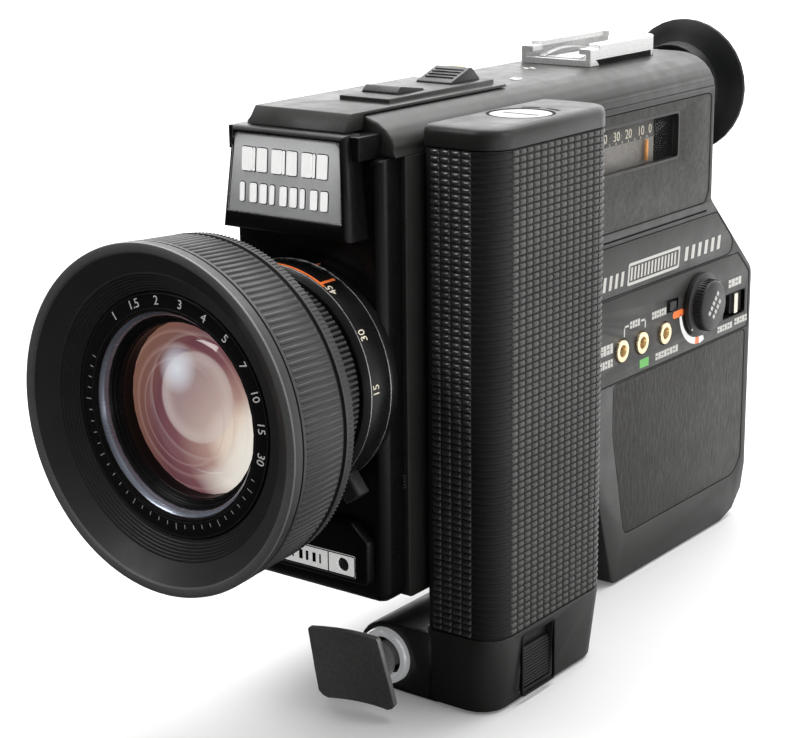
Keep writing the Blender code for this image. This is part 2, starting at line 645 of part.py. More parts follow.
def gear_outline(teeth, centre, phase):
    """A spur gear with straight flanks and a little backlash."""
    pitch = MODULE * teeth / 2
    root_r, tip_r = pitch - 1.25 * MODULE, pitch + 0.8 * MODULE
    step = 2 * math.pi / teeth
    points = []
    for tooth in range(teeth):
        middle = phase + tooth * step
        for radius, share in ((root_r, -0.30), (tip_r, -0.12), (tip_r, 0.12), (root_r, 0.30)):
            angle = middle + share * step
            points.append((centre[0] + radius * math.cos(angle), centre[1] + radius * math.sin(angle)))
    return points


def film_door(root):
    axis = (-BODY_HALF, DOOR[0][0], 50.0)
    frame = empty("door_hinge", axis, root)
    door = prism("film_door", rounded(DOOR), "X", -BODY_HALF, -BODY_HALF + WALL, ("casing", SATIN), frame)
    latch = [(36.0, 42.0, 0.5), (40.5, 42.0, 0.5), (40.5, 56.0, 0.5), (36.0, 56.0, 0.5)]
    cut(door, prism("latch_slot", rounded(latch, RUN_GAP), "X", -BODY_HALF - 1, -BODY_HALF + 1.0, None, frame))
    slider = [(36.0, 45.0, 0.5), (40.5, 45.0, 0.5), (40.5, 56.0, 0.5), (36.0, 56.0, 0.5)]
    latch_frame = empty("latch_frame", (-BODY_HALF, 38.2, 50.0), frame)
    prism("door_latch", rounded(slider), "X", -BODY_HALF - 0.8, -BODY_HALF + 0.7, ("button", BLACK), latch_frame)


def film_and_gate(root):
    body = [(-27.0, 5.5, 3.0), (39.0, 5.5, 6.0), (39.0, 78.0, 3.0), (28.0, 88.0, 3.0), (-27.0, 88.0, 3.0)]
    cartridge = prism("film_cartridge", rounded(body), "X", -19.5, 4.0, ("cartridge", BLACK), root)
    cut(cartridge, disc("spindle_well", 5.2, -2.0, 6.0, (6.0, 46.0), "X", None, root, 16))
    gate = prism("film_gate", rounded([(-18.0, 30.0, 1), (2.5, 30.0, 1), (2.5, 97.0, 1), (-18.0, 97.0, 1)]),
                 "Y", -29.6, -27.6, ("steel", STEEL), root)
    cut(gate, prism("gate_aperture", [(-2.9, AXIS_Z - 2.1), (1.9, AXIS_Z - 2.1), (1.9, AXIS_Z + 2.1), (-2.9, AXIS_Z + 2.1)],
                    "Y", -31, -26, None, root))
    cut(gate, prism("claw_slot", [(-5.6, AXIS_Z - 9), (-4.0, AXIS_Z - 9), (-4.0, AXIS_Z + 1), (-5.6, AXIS_Z + 1)],
                    "Y", -31, -26, None, root))
    claw = empty("claw_frame", (-4.8, -31.0, AXIS_Z - 5), root)
    block("pulldown_claw", (-5.2, -33.4, AXIS_Z - 6.4), (-4.4, -28.2, AXIS_Z - 5.2), ("steel", STEEL), claw)
    spindle = empty("spindle_frame", (6.0, 6.0, 46.0), root)
    spindle.location = Vector((6.0, 6.0, 46.0)) * MM
    turned("take_up_spindle", [(0, -1.5), (3.4, -1.5), (3.4, 5.0), (8.0, 5.0), (8.0, 8.0), (0, 8.0)],
           (6.0, 46.0), "X", ("steel", STEEL), spindle, 20)
    capstan = empty("capstan_frame", (9.0, -14.0, 22.0), root)
    turned("capstan", [(0, 4.6), (1.4, 4.6), (1.4, 9.0), (12.0, 9.0), (12.0, 13.0), (0, 13.0)],
           (-14.0, 22.0), "X", ("steel", STEEL), capstan, 28)


def drive(root):
    reach = MODULE * (GEAR_TEETH + PINION_TEETH) / 2 + 0.1
    pinion_axis = (SHUTTER_AXIS[0], SHUTTER_AXIS[1] - reach)
    motor_rear = -56.0
    turned("drive_motor", [(1.4, -96.0), (11.0, -96.0), (11.0, motor_rear), (1.4, motor_rear)],
           pinion_axis, "Y", ("steel", STEEL), root, 28)
    pinion = empty("pinion_frame", (pinion_axis[0], GEAR_Y[0], pinion_axis[1]), root)
    pinion_gear = prism("motor_pinion", gear_outline(PINION_TEETH, pinion_axis, math.pi / PINION_TEETH),
                        "Y", *GEAR_Y, ("brass", BRASS), pinion)
    join(pinion_gear, disc("pinion_shaft", 1.0, -90.0, GEAR_Y[0] + 0.5, pinion_axis, "Y", None, pinion, 12))
    shutter = empty("shutter_frame", (SHUTTER_AXIS[0], GEAR_Y[0], SHUTTER_AXIS[1]), root)
    gear = prism("shutter", gear_outline(GEAR_TEETH, SHUTTER_AXIS, 0.0), "Y", *GEAR_Y, ("steel", STEEL), shutter)
    sides, blade_r = 16, 18.8
    points = []
    for side in range(sides + 1):
        angle = math.radians(55 + 220 * side / sides)
        points.append((SHUTTER_AXIS[0] + blade_r * math.cos(angle), SHUTTER_AXIS[1] + blade_r * math.sin(angle)))
    points += [(SHUTTER_AXIS[0] + 4 * math.cos(a), SHUTTER_AXIS[1] + 4 * math.sin(a))
               for a in (math.radians(300), math.radians(340), math.radians(20))]
    blade = prism("shutter_blade", points, "Y", -37.0, -36.2, None, shutter)
    join(gear, disc("shutter_shaft", 1.5, -54.0, -35.0, SHUTTER_AXIS, "Y", None, shutter, 16), blade)


# ---------------------------------------------------------------- base and grip

def base(root):
    plate = prism("base_plate", rounded([(-14.0, -24.0, 2), (14.0, -24.0, 2), (14.0, 26.0, 2), (-14.0, 26.0, 2)]),
                  "Z", 0.0, 1.2, ("steel", STEEL), root)
    hole = (0.0, 16.0)
    cut(plate, disc("tripod_hole", 6.1, -1, 3, hole, "Z", None, root, 24))
    turned("tripod_bush", [(3.2, 0.1), (6.0, 0.1), (6.0, 4.6), (3.2, 4.6)], hole, "Z", ("brass", BRASS), root, 24)
    return plate


def clear_for_base(covers, root):
    """The base plate lies in a shallow recess across both side covers, and the bush goes through them."""
    for cover in covers:
        outline = rounded([(-14.0, -24.0, 2), (14.0, -24.0, 2), (14.0, 26.0, 2), (-14.0, 26.0, 2)], 0.2)
        cut(cover, prism(f"base_recess_{cover.name}", outline, "Z", -1, 1.3, None, root))
        cut(cover, disc(f"bush_hole_{cover.name}", 6.3, -1, 6, (0.0, 16.0), "Z", None, root, 24))


def grip_outline(grow=0.0, taper=0.0):
    """Plan of the grip, as (X, Y); taper draws in its outer and rear sides."""
    outer, rear = GRIP_OUT - taper, GRIP_REAR - taper
    corners = [(GRIP_IN, GRIP_FRONT, INNER_ROUND), (outer, GRIP_FRONT, OUTER_ROUND),
               (outer, rear, OUTER_ROUND), (GRIP_IN, rear, INNER_ROUND)]
    return rounded(corners, grow, steps=4)


def hinge(root):
    """The bracket and the pin that the grip folds about; the pin lies along Y."""
    rear, front = -60.0, GRIP_REAR + 0.6
    corners = [(HINGE_X - 7.5, UNDERSIDE - REST_GAP, 0), (HINGE_X - 7.5, HINGE_Z - 6.5, 6.0),
               (HINGE_X + 7.5, HINGE_Z - 6.5, 6.0), (HINGE_X + 7.5, UNDERSIDE - REST_GAP, 0)]
    bracket = prism("hinge_bracket", rounded(corners), "Y", front, rear, ("front", BLACK), root)
    cut(bracket, disc("bracket_bore", PIN_R + REST_GAP, front - 1, rear + 1, (HINGE_X, HINGE_Z), "Y", None, root))
    disc("hinge_pin", PIN_R, -99.0, rear - 0.5, (HINGE_X, HINGE_Z), "Y", ("steel", STEEL), root)


def grip_frame(fold):
    """Foot, trigger boss and battery tube, moulded in one."""
    frame = slab("grip_frame", [(*point, 0.0) for point in grip_outline(taper=FOOT_TAPER)],
                 [(*point, GRIP_FOOT) for point in grip_outline()], ("grip", BLACK), fold)
    soften(frame, 0.8, 2, lambda p: p.z < 0.01)
    boss_front, boss_rear = GRIP_FRONT + 0.2, GRIP_REAR - 2.0
    into = GRIP_IN + 4.0
    corners = [(HINGE_X - BOSS_R, HINGE_Z - BOSS_R, BOSS_R - 0.1), (into, HINGE_Z - BOSS_R, 0),
               (into, HINGE_Z + BOSS_R, 0), (HINGE_X - BOSS_R, HINGE_Z + BOSS_R, BOSS_R - 0.1)]
    boss = prism("trigger_boss", rounded(corners, steps=6), "Y", boss_front, boss_rear, None, fold)
    soften(boss, 0.8, 2, lambda p: p.y < boss_front + 0.01 and p.x < GRIP_IN)
    inset = SLEEVE_WALL + REST_GAP
    tube = prism("battery_tube", grip_outline(-inset), "Z", GRIP_FOOT - 2, GRIP_CAP - 0.5, None, fold)
    join(frame, boss, tube)
    inner = inset + TUBE_WALL
    cut(frame, prism("battery_hollow", grip_outline(-inner), "Z", CELL_FLOOR, GRIP_CAP + 2, None, fold))
    cut(frame, disc("pin_bore", PIN_R + 0.35, -101.0, GRIP_REAR + 2, (HINGE_X, HINGE_Z), "Y", None, fold))
    cut(frame, disc("trigger_bore", 4.6, GRIP_FRONT - 2, -106.0, (HINGE_X, HINGE_Z), "Y", None, fold))
    cut(frame, disc("collar_seat", COLLAR_R + REST_GAP, GRIP_FRONT - 2, GRIP_FRONT + 2.0, (HINGE_X, HINGE_Z),
                    "Y", None, fold, 32))
    recess = rounded([(-111.6, 2.2, 0.5), (-97.9, 2.2, 0.5), (-97.9, 17.0, 0.5), (-111.6, 17.0, 0.5)])
    cut(frame, prism("latch_recess", recess, "X", GRIP_OUT - 2.6, GRIP_OUT + 2, None, fold))
    return frame


def batteries(fold):
    """Three pairs of cells, each pair stacked end to end in its column."""
    middle = (GRIP_FRONT + GRIP_REAR) / 2
    pitch = 2 * CELL_R + 0.5
    centre_x = (GRIP_IN + GRIP_OUT) / 2
    for name, place in (("front", -1), ("middle", 0), ("rear", 1)):
        low = CELL_FLOOR + 0.2
        one = low + CELL_LONG
        profile = [(0, low), (CELL_R, low), (CELL_R, one - 1.6), (2.7, one - 1.6), (2.7, one),
                   (CELL_R, one), (CELL_R, one + CELL_LONG - 1.6), (2.7, one + CELL_LONG - 1.6),
                   (2.7, one + CELL_LONG), (0, one + CELL_LONG)]
        turned(f"battery_pair_{name}", profile, (centre_x, middle + place * pitch), "Z",
               ("cell", CELL_SKIN), fold, 16)


def grip_cover(fold):
    sleeve = prism("grip_sleeve", grip_outline(), "Z", GRIP_FOOT + REST_GAP, GRIP_CAP, ("rubber", RUBBER), fold)
    cut(sleeve, prism("sleeve_hollow", grip_outline(-SLEEVE_WALL), "Z", GRIP_FOOT - 2, GRIP_CAP + 2, None, fold))
    centre = ((GRIP_IN + GRIP_OUT) / 2, (GRIP_FRONT + GRIP_REAR) / 2)
    lift = empty("cap_frame", (*centre, GRIP_CAP), fold)
    cap = prism("battery_cap", grip_outline(), "Z", GRIP_CAP + RUN_GAP, GRIP_TOP, ("grip", BLACK), lift)
    soften(cap, 1.8, 3, lambda p: p.z > GRIP_TOP - 0.01)
    cut(cap, disc("screw_seat", 7.8, GRIP_TOP - 2.4, GRIP_TOP + 2, centre, "Z", None, lift, 32))
    cut(cap, disc("screw_hole", 2.6, GRIP_CAP - 2, GRIP_TOP + 2, centre, "Z", None, lift, 16))
    turn = empty("screw_frame", (*centre, GRIP_TOP), lift)
    screw = turned("coin_screw", [(0, GRIP_CAP - 9.0), (2.2, GRIP_CAP - 9.0), (2.2, GRIP_TOP - 2.1), (7.5, GRIP_TOP - 2.1),
                                  (7.5, GRIP_TOP - 0.1), (0, GRIP_TOP - 0.1)], centre, "Z", ("bright_metal", SILVER), turn, 32)
    cut(screw, block("coin_slot", (centre[0] - 5.0, centre[1] - 0.7, GRIP_TOP - 1.2),
                     (centre[0] + 5.0, centre[1] + 0.7, GRIP_TOP + 1), None, turn))


def trigger(fold):
    pivot = (HINGE_X, HINGE_Z)
    front, rear, inside = GRIP_FRONT - 1.6, GRIP_FRONT + 1.9, COLLAR_R - 2.0
    turned("trigger_collar", [(inside, front + 0.4), (inside + 0.4, front), (COLLAR_R - 0.5, front),
                              (COLLAR_R, front + 0.6), (COLLAR_R, rear), (inside, rear)],
           pivot, "Y", ("bright_metal", SILVER), fold, 32)
    press = empty("trigger_frame", (HINGE_X, -136.0, HINGE_Z), fold)
    trigger_paddle(press)


def trigger_paddle(press):
    """A hollowed blade, a little wider at its foot, that leans forward and rolls slightly on its stem."""
    thick, hollow, columns = 1.5, 1.0, 8
    half_widths = [(-9.4, 9.4), (-8.9, 10.8), (-7.8, 11.8), (-2.0, 11.6), (4.0, 11.2), (9.5, 10.9), (10.0, 10.5)]
    rows = len(half_widths) - 1
    lean = Matrix.Rotation(math.radians(9), 3, "X") @ Matrix.Rotation(math.radians(-5.8), 3, "Y")
    centre = Vector((HINGE_X + 1.2, -140.2, HINGE_Z + 2.1))
    points = []
    for deep in (0.0, thick):
        for height, half_width in half_widths:
            for column in range(columns + 1):
                across = 2 * column / columns - 1
                sag = hollow * (1 - across * across)
                points.append(centre + lean @ Vector((across * half_width, deep + sag, height)))
    layer = (rows + 1) * (columns + 1)

    def at(deep, row, column):
        return deep * layer + row * (columns + 1) + column

    faces = []
    for deep in (0, 1):
        for row in range(rows):
            for column in range(columns):
                faces.append((at(deep, row, column), at(deep, row, column + 1),
                              at(deep, row + 1, column + 1), at(deep, row + 1, column)))
    for row in range(rows):
        for column in (0, columns):
            faces.append((at(0, row, column), at(1, row, column), at(1, row + 1, column), at(0, row + 1, column)))
    for column in range(columns):
        for row in (0, rows):
            faces.append((at(0, row, column), at(1, row, column), at(1, row, column + 1), at(0, row, column + 1)))
    paddle = put("trigger", points, faces, ("trigger", BLACK), press)
    stem_r, neck = 4.9, GRIP_FRONT - 2.7
    join(paddle, turned("trigger_stem", [(0, -137.9), (stem_r, -137.9), (stem_r, neck), (3.6, neck + 1.0),
                                         (3.6, -110.0), (0, -110.0)],
                        (HINGE_X, HINGE_Z), "Y", None, press, 20))


def grip_latch(fold):
    frame = empty("grip_latch_frame", (GRIP_OUT, -104.4, 8.0), fold)
    outline = [(-110.5, 2.7, 0.4), (-98.3, 2.7, 0.4), (-98.3, 13.2, 0.4), (-110.5, 13.2, 0.4)]
    tab = prism("grip_latch", rounded(outline), "X", GRIP_OUT - 2.4, GRIP_OUT - 1.6, ("button", BLACK), frame)
    for index in range(4):
        low = 4.0 + 2.2 * index
        join(tab, block(f"latch_rib_{index}", (GRIP_OUT - 2.0, -109.7, low), (GRIP_OUT - 1.0, -99.1, low + 1.1), None, frame))


def grip(root):
    fold = empty("grip_fold_frame", (HINGE_X, -98.0, HINGE_Z), root)
    grip_frame(fold)
    batteries(fold)
    grip_cover(fold)
    trigger(fold)
    grip_latch(fold)


# ---------------------------------------------------------------- the camera

def build():
    for thing in list(bpy.data.objects):
        bpy.data.objects.remove(thing)
    root = empty("cine_camera", (0, 0, 0))
    covers = casing(root)
    clear_for_base(covers, root)
    top_cover(root)
    front_panel(root)
    head(root)
    microphone(root)
    zoom_buttons(root)
    accessory_shoe(root)
    finder(root)
    lens(root)
    controls(root)
    counter(root)
    film_door(root)
    film_and_gate(root)
    drive(root)
    base(root)
    hinge(root)
    grip(root)


build()
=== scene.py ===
"""Looks for the sound cine camera: finishes on every CAD node, and the fine pieces that the CAD leaves out.

Frame: +Z up, the lens looks along -Y, +X is the grip's side. Lengths are millimetres, except in the studio at
the end, which is in metres; points become metres where a mesh is made. Angles are degrees.
"""

import json
import math

import bpy
import bmesh
from mathutils import Matrix, Vector

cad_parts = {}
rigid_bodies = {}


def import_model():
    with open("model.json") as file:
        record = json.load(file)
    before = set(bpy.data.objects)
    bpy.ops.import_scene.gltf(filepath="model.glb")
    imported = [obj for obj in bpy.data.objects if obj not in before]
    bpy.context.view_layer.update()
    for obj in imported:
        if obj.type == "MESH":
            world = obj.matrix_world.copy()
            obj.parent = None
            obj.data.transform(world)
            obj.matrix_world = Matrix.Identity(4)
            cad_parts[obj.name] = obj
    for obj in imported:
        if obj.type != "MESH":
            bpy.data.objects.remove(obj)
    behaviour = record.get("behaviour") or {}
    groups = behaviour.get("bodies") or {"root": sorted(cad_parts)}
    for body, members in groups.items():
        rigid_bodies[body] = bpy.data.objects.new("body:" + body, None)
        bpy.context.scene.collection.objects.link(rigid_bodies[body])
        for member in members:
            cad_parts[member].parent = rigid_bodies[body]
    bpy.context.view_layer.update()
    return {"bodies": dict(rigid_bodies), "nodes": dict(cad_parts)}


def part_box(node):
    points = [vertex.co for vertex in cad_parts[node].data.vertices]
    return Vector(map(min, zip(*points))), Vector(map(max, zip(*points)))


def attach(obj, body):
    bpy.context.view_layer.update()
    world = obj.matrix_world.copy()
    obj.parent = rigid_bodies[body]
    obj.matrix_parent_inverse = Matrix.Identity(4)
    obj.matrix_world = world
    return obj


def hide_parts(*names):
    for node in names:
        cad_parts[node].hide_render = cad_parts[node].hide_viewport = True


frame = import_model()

MM = 0.001
NODES = frame["nodes"]
X, Y, Z = Vector((1, 0, 0)), Vector((0, 1, 0)), Vector((0, 0, 1))


def box(node):
    """Lowest and highest corner of a CAD node."""
    low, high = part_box(node)
    return Vector(low) / MM, Vector(high) / MM


def middle(node):
    low, high = box(node)
    return (low + high) / 2


def add_object(name, data):
    made = bpy.data.objects.new(name, data)
    bpy.context.scene.collection.objects.link(made)
    return made


SCREW_CENTRE = middle("coin_screw")
AXIS = (0.0, middle("lens_barrel").z)   # X and Z of the lens axis

# ---------------------------------------------------------------- materials

LOOKS = {}
SOCKETS = {"colour": "Base Color", "rough": "Roughness", "metal": "Metallic", "coat": "Coat Weight",
           "coat_rough": "Coat Roughness", "normal": "Normal", "spec": "Specular IOR Level",
           "glow": "Emission Color", "glow_strength": "Emission Strength", "alpha": "Alpha"}


class Graph:
    """A small builder for the nodes of one material or world."""

    def __init__(self, owner, coordinates="Object"):
        owner.use_nodes = True
        self.owner, self.tree = owner, owner.node_tree
        self.place = self.node("ShaderNodeTexCoord").outputs[coordinates]

    def node(self, kind, **settings):
        made = self.tree.nodes.new(kind)
        for key, value in settings.items():
            setattr(made, key, value)
        return made

    def feed(self, socket, value):
        """Sets an input to a number or a colour, or links another node's output to it."""
        if isinstance(value, (int, float)):
            socket.default_value = value
        elif isinstance(value, tuple):
            socket.default_value = (*value, 1.0)
        else:
            self.tree.links.new(value, socket)

    def noise(self, scale, detail=3.0, stretch=(1, 1, 1)):
        mapping = self.node("ShaderNodeMapping")
        mapping.inputs["Scale"].default_value = stretch
        self.feed(mapping.inputs["Vector"], self.place)
        made = self.node("ShaderNodeTexNoise")
        self.feed(made.inputs["Scale"], scale)
        self.feed(made.inputs["Detail"], detail)
        self.feed(made.inputs["Roughness"], 0.55)
        self.feed(made.inputs["Vector"], mapping.outputs["Vector"])
        return made.outputs["Fac"]

    def ramp(self, factor, *stops):
        """A colour ramp; each stop is (place, colour) with a grey number or three channels."""
        made = self.node("ShaderNodeValToRGB")
        points = made.color_ramp.elements
        while len(points) < len(stops):
            points.new(0.5)
        for point, (place, colour) in zip(points, stops):
            point.position = place
            channels = (colour,) * 3 if isinstance(colour, (int, float)) else colour
            point.color = (*channels, 1.0)
        self.feed(made.inputs["Fac"], factor)
        return made.outputs["Color"]

    def math(self, operation, a, b):
        made = self.node("ShaderNodeMath", operation=operation)
        self.feed(made.inputs[0], a)
        self.feed(made.inputs[1], b)
        return made.outputs[0]

    def vectors(self, operation, a, b=None):
        """A vector operation on a; b is another node's output, or a fixed vector as a tuple."""
        made = self.node("ShaderNodeVectorMath", operation=operation)
        self.feed(made.inputs[0], a)
        if isinstance(b, tuple):
            made.inputs[1].default_value = b
        elif b is not None:
            self.feed(made.inputs[1], b)
        return made.outputs["Value" if operation in ("LENGTH", "DOT_PRODUCT") else "Vector"]

    def mix(self, factor, a, b, blend="MIX", kind="RGBA"):
        made = self.node("ShaderNodeMix", data_type=kind, blend_type=blend)
        for name, value in (("Factor", factor), ("A", a), ("B", b)):
            self.feed(next(s for s in made.inputs if s.name == name and s.enabled), value)
        return next(s for s in made.outputs if s.enabled)

    def rounded_edges(self, radius):
        made = self.node("ShaderNodeBevel", samples=4)
        made.inputs["Radius"].default_value = radius * MM
        return made.outputs["Normal"]

    def bump(self, height, strength, depth, normal=None):
        made = self.node("ShaderNodeBump")
        self.feed(made.inputs["Strength"], strength)
        self.feed(made.inputs["Distance"], depth * MM)
        self.feed(made.inputs["Height"], height)
        if normal:
            self.feed(made.inputs["Normal"], normal)
        return made.outputs["Normal"]

    def surface(self, **inputs):
        shader = self.tree.nodes["Principled BSDF"]
        for key, value in inputs.items():
            self.feed(shader.inputs[SOCKETS[key]], value)


def new_look(name):
    """The graph of a fresh material, which LOOKS keeps under its name."""
    LOOKS[name] = bpy.data.materials.new(name)
    return Graph(LOOKS[name])


def shade(colour, factor):
    return tuple(min(1.0, c * factor) for c in colour)


def finish(name, colour, rough, grain, depth, edge=0.0, metal=0.0, stretch=(1, 1, 1), mottle=0.1, wear=0.0,
           coat=0.0, spec=0.28, speck=0.14):
    """A moulded, painted or turned surface: uneven tone and gloss, fine grain and polished edges.

    grain is the scale of its noise and depth its height; edge is the radius of the rounded edges.
    """
    g = new_look(name)
    broad = g.noise(45, 2.0)
    fine = g.noise(grain, 4.0, stretch)
    tone = g.ramp(broad, (0.3, shade(colour, 1 - mottle)), (0.7, shade(colour, 1 + mottle)))
    tone = g.mix(1.0, tone, g.ramp(fine, (0.3, 1 - speck), (0.75, 1 + speck)), blend="MULTIPLY")
    spread = 0.06
    gloss = g.ramp(g.noise(180), (0.3, max(0.02, rough - spread)), (0.7, min(1.0, rough + spread)))
    normal = g.rounded_edges(edge) if edge else None
    if wear:
        flat = g.vectors("DOT_PRODUCT", normal, g.node("ShaderNodeNewGeometry").outputs["Normal"])
        worn = g.math("MULTIPLY", g.math("SUBTRACT", 1.0, flat), g.noise(260, 4.0))
        mask = g.ramp(worn, (0.02, 0.0), (0.12, wear))
        tone = g.mix(mask, tone, shade(colour, 3.2))
        gloss = g.mix(mask, gloss, (rough * 0.6,) * 3)
    g.surface(colour=tone, rough=gloss, metal=metal, normal=g.bump(fine, 0.6, depth, normal),
              coat=coat, coat_rough=0.12, spec=spec)


def brushed(name, colour, rough, around=None, metal=0.85, glow=0.0):
    """Bare metal with fine tool marks: straight ones, or circles round a vertical axis through a point."""
    g = new_look(name)
    if around:
        flat = g.vectors("MULTIPLY", g.vectors("SUBTRACT", g.place, tuple(around * MM)), (1, 1, 0))
        rings = g.node("ShaderNodeTexNoise", noise_dimensions="1D")
        g.feed(rings.inputs["Scale"], 6000)
        g.feed(rings.inputs["W"], g.vectors("LENGTH", flat))
        marks = rings.outputs["Fac"]
    else:
        marks = g.noise(400, 3.0, (1, 0.04, 6))
    tone = g.ramp(g.noise(60, 2.0), (0.3, shade(colour, 0.9)), (0.7, colour))
    gloss = g.ramp(marks, (0.3, max(0.05, rough - 0.08)), (0.7, rough + 0.08))
    # glow makes the metal glow with its own tone: painted reflection.
    g.surface(colour=tone, rough=gloss, metal=metal, normal=g.bump(marks, 0.35, 0.01, g.rounded_edges(0.15)),
              glow=tone, glow_strength=glow)


def printed(name, colour, rough=0.45, glow=0.12):
    """Printed or filled marks, a little uneven in cover; they glow a little, which is painted light."""
    g = new_look(name)
    cover = g.ramp(g.noise(1500), (0.25, shade(colour, 0.82)), (0.5, colour))
    # The marks glow: painted light.
    g.surface(colour=cover, rough=rough, glow=cover, glow_strength=glow)


def glass_painted_reflections():
    """The zoom's front element: the coatings' colours, a pale disc, rings, a bluish glint and a bright
    crescent, all painted reflections that the glass glows with.
    """
    g = new_look("glass_painted_reflections")
    unit = 40.0

    def reach(across, up):
        """Distance from a line beside the lens axis, as a part of the unit."""
        centre = ((AXIS[0] + across) * MM, 0, (AXIS[1] + up) * MM)
        flat = g.vectors("MULTIPLY", g.vectors("SUBTRACT", g.place, centre), (1 / MM, 0, 1 / MM))
        return g.math("DIVIDE", g.vectors("LENGTH", flat), unit)

    # Painted reflections: each ramp paints light that the glass would reflect, not a colour of its own.
    painted_reflection_colour = g.ramp(reach(15, -6), (0.0, (1.0, 0.92, 0.78)), (0.16, (0.86, 0.70, 0.58)),
                  (0.27, (0.48, 0.30, 0.26)), (0.48, (0.22, 0.085, 0.10)), (0.64, (0.16, 0.055, 0.07)),
                  (0.86, (0.26, 0.12, 0.085)))
    disc = g.ramp(reach(2.0, 3.2), (0.0, 0.30), (0.16, 0.38), (0.22, 0.62), (0.25, 0.55), (0.265, 0.0),
                  (0.34, 0.0), (0.345, 0.22), (0.37, 0.05), (0.43, 0.02))
    painted_reflection_colour = g.mix(disc, painted_reflection_colour, (0.74, 0.64, 0.60))
    lines = g.ramp(reach(-2.5, -1.0), (0.30, 0.0), (0.305, 0.35), (0.32, 0.0), (0.365, 0.0), (0.37, 0.3),
                   (0.40, 0.0), (0.445, 0.0), (0.45, 0.28), (0.47, 0.0))
    painted_reflection_colour = g.mix(lines, painted_reflection_colour, (0.62, 0.42, 0.38))
    # A bluish glint: painted highlight.
    painted_glint = g.ramp(reach(-3.6, 9.0), (0.0, 0.9), (0.07, 0.55), (0.15, 0.0))
    painted_reflection_colour = g.mix(painted_glint, painted_reflection_colour, (0.86, 0.90, 1.0))
    # A bright crescent towards the edge: painted reflection.
    painted_crescent = g.ramp(reach(-5, 4), (0.47, 0.0), (0.53, 0.55), (0.60, 0.9))
    edge = g.ramp(reach(13, -8), (0.22, 1.0), (0.42, 0.0))
    painted_reflection_colour = g.mix(g.math("MULTIPLY", painted_crescent, edge), painted_reflection_colour, (1.0, 0.96, 0.88))
    smear = g.ramp(g.noise(160), (0.35, 0.03), (0.75, 0.10))
    # The glass glows with the painted reflections; its own colour is near black.
    g.surface(colour=(0.012, 0.012, 0.012), rough=smear, coat=0.6, coat_rough=0.02, glow=painted_reflection_colour,
              glow_strength=0.8)


def clear_glass(name, tone):
    """A thin clear pane: mostly seen through, with a sharp reflection."""
    g = new_look(name)
    smear = g.ramp(g.noise(90), (0.35, 0.02), (0.75, 0.09))
    g.surface(colour=(tone,) * 3, rough=smear, alpha=0.07, spec=0.5)


def make_plastics():
    finish("casing", (0.030, 0.0292, 0.028), 0.38, 1500, 0.012, 0.35, wear=0.3)
    # Near-black, far darker than the casing: painted shade for the front, which lies in the grip's and the
    # hood's shadow.
    finish("front", (0.0055, 0.0055, 0.0054), 0.3, 1700, 0.006, 0.3, spec=0.16)
    finish("grip_plastic", (0.026, 0.0255, 0.0245), 0.36, 1600, 0.012, 0.4, wear=0.3)
    finish("leatherette", (0.038, 0.0367, 0.0345), 0.52, 560, 0.5, 0.15, stretch=(1.4, 1.4, 0.6), speck=0.3)
    finish("upper_leatherette_grain", (0.034, 0.033, 0.031), 0.52, 520, 0.5, 0.15, stretch=(1.0, 0.75, 1.2),
           speck=0.3)
    finish("panel", (0.034, 0.0327, 0.0313), 0.42, 1400, 0.01, 0.2)
    finish("badge_plate", (0.80, 0.805, 0.81), 0.36, 2200, 0.004, 0.15, speck=0.05)
    finish("button", (0.030, 0.030, 0.030), 0.4, 1800, 0.008, 0.25)
    finish("deep_black", (0.006, 0.006, 0.006), 0.7, 1500, 0.01, spec=0.06)
    # Mid grey standing in for the sheen on a glossy black paddle: painted reflection.
    finish("trigger_painted_sheen", (0.19, 0.19, 0.185), 0.2, 900, 0.003, 0.3, coat=0.5)
    finish("scale_grey", (0.10, 0.097, 0.092), 0.6, 900, 0.01)
    finish("scale_light", (0.26, 0.245, 0.225), 0.6, 900, 0.01)
    finish("cartridge", (0.02, 0.02, 0.02), 0.6, 1000, 0.03, 0.2)
    finish("cell_skin", (0.08, 0.10, 0.26), 0.3, 600, 0.01, metal=0.3, coat=0.4)


def make_rubbers():
    finish("rubber", (0.045, 0.045, 0.044), 0.55, 1800, 0.02, 0.12)
    finish("hood_coat", (0.040, 0.040, 0.039), 0.42, 2200, 0.008, 0.12)
    # A lighter copy of the hood's finish for the lip's front face: painted light.
    finish("hood_lip_painted_light", (0.15, 0.15, 0.148), 0.45, 2200, 0.01, 0.1)
    finish("eyecup_rubber", (0.006, 0.0064, 0.0066), 0.42, 1200, 0.02, spec=0.16)
    # Darker than the pads: painted shade in the gaps between them.
    finish("grip_ground_painted_shade", (0.022, 0.022, 0.0215), 0.7, 1800, 0.02)
    finish("grip_pads", (0.072, 0.071, 0.069), 0.5, 1800, 0.02)
    finish("grip_front_pads", (0.060, 0.060, 0.059), 0.24, 1800, 0.006, spec=0.9)
    # Darker than the other pads: painted shade on the grip's front corner.
    finish("grip_corner_ribs_painted_shade", (0.018, 0.018, 0.0176), 0.42, 1800, 0.01, spec=0.14)


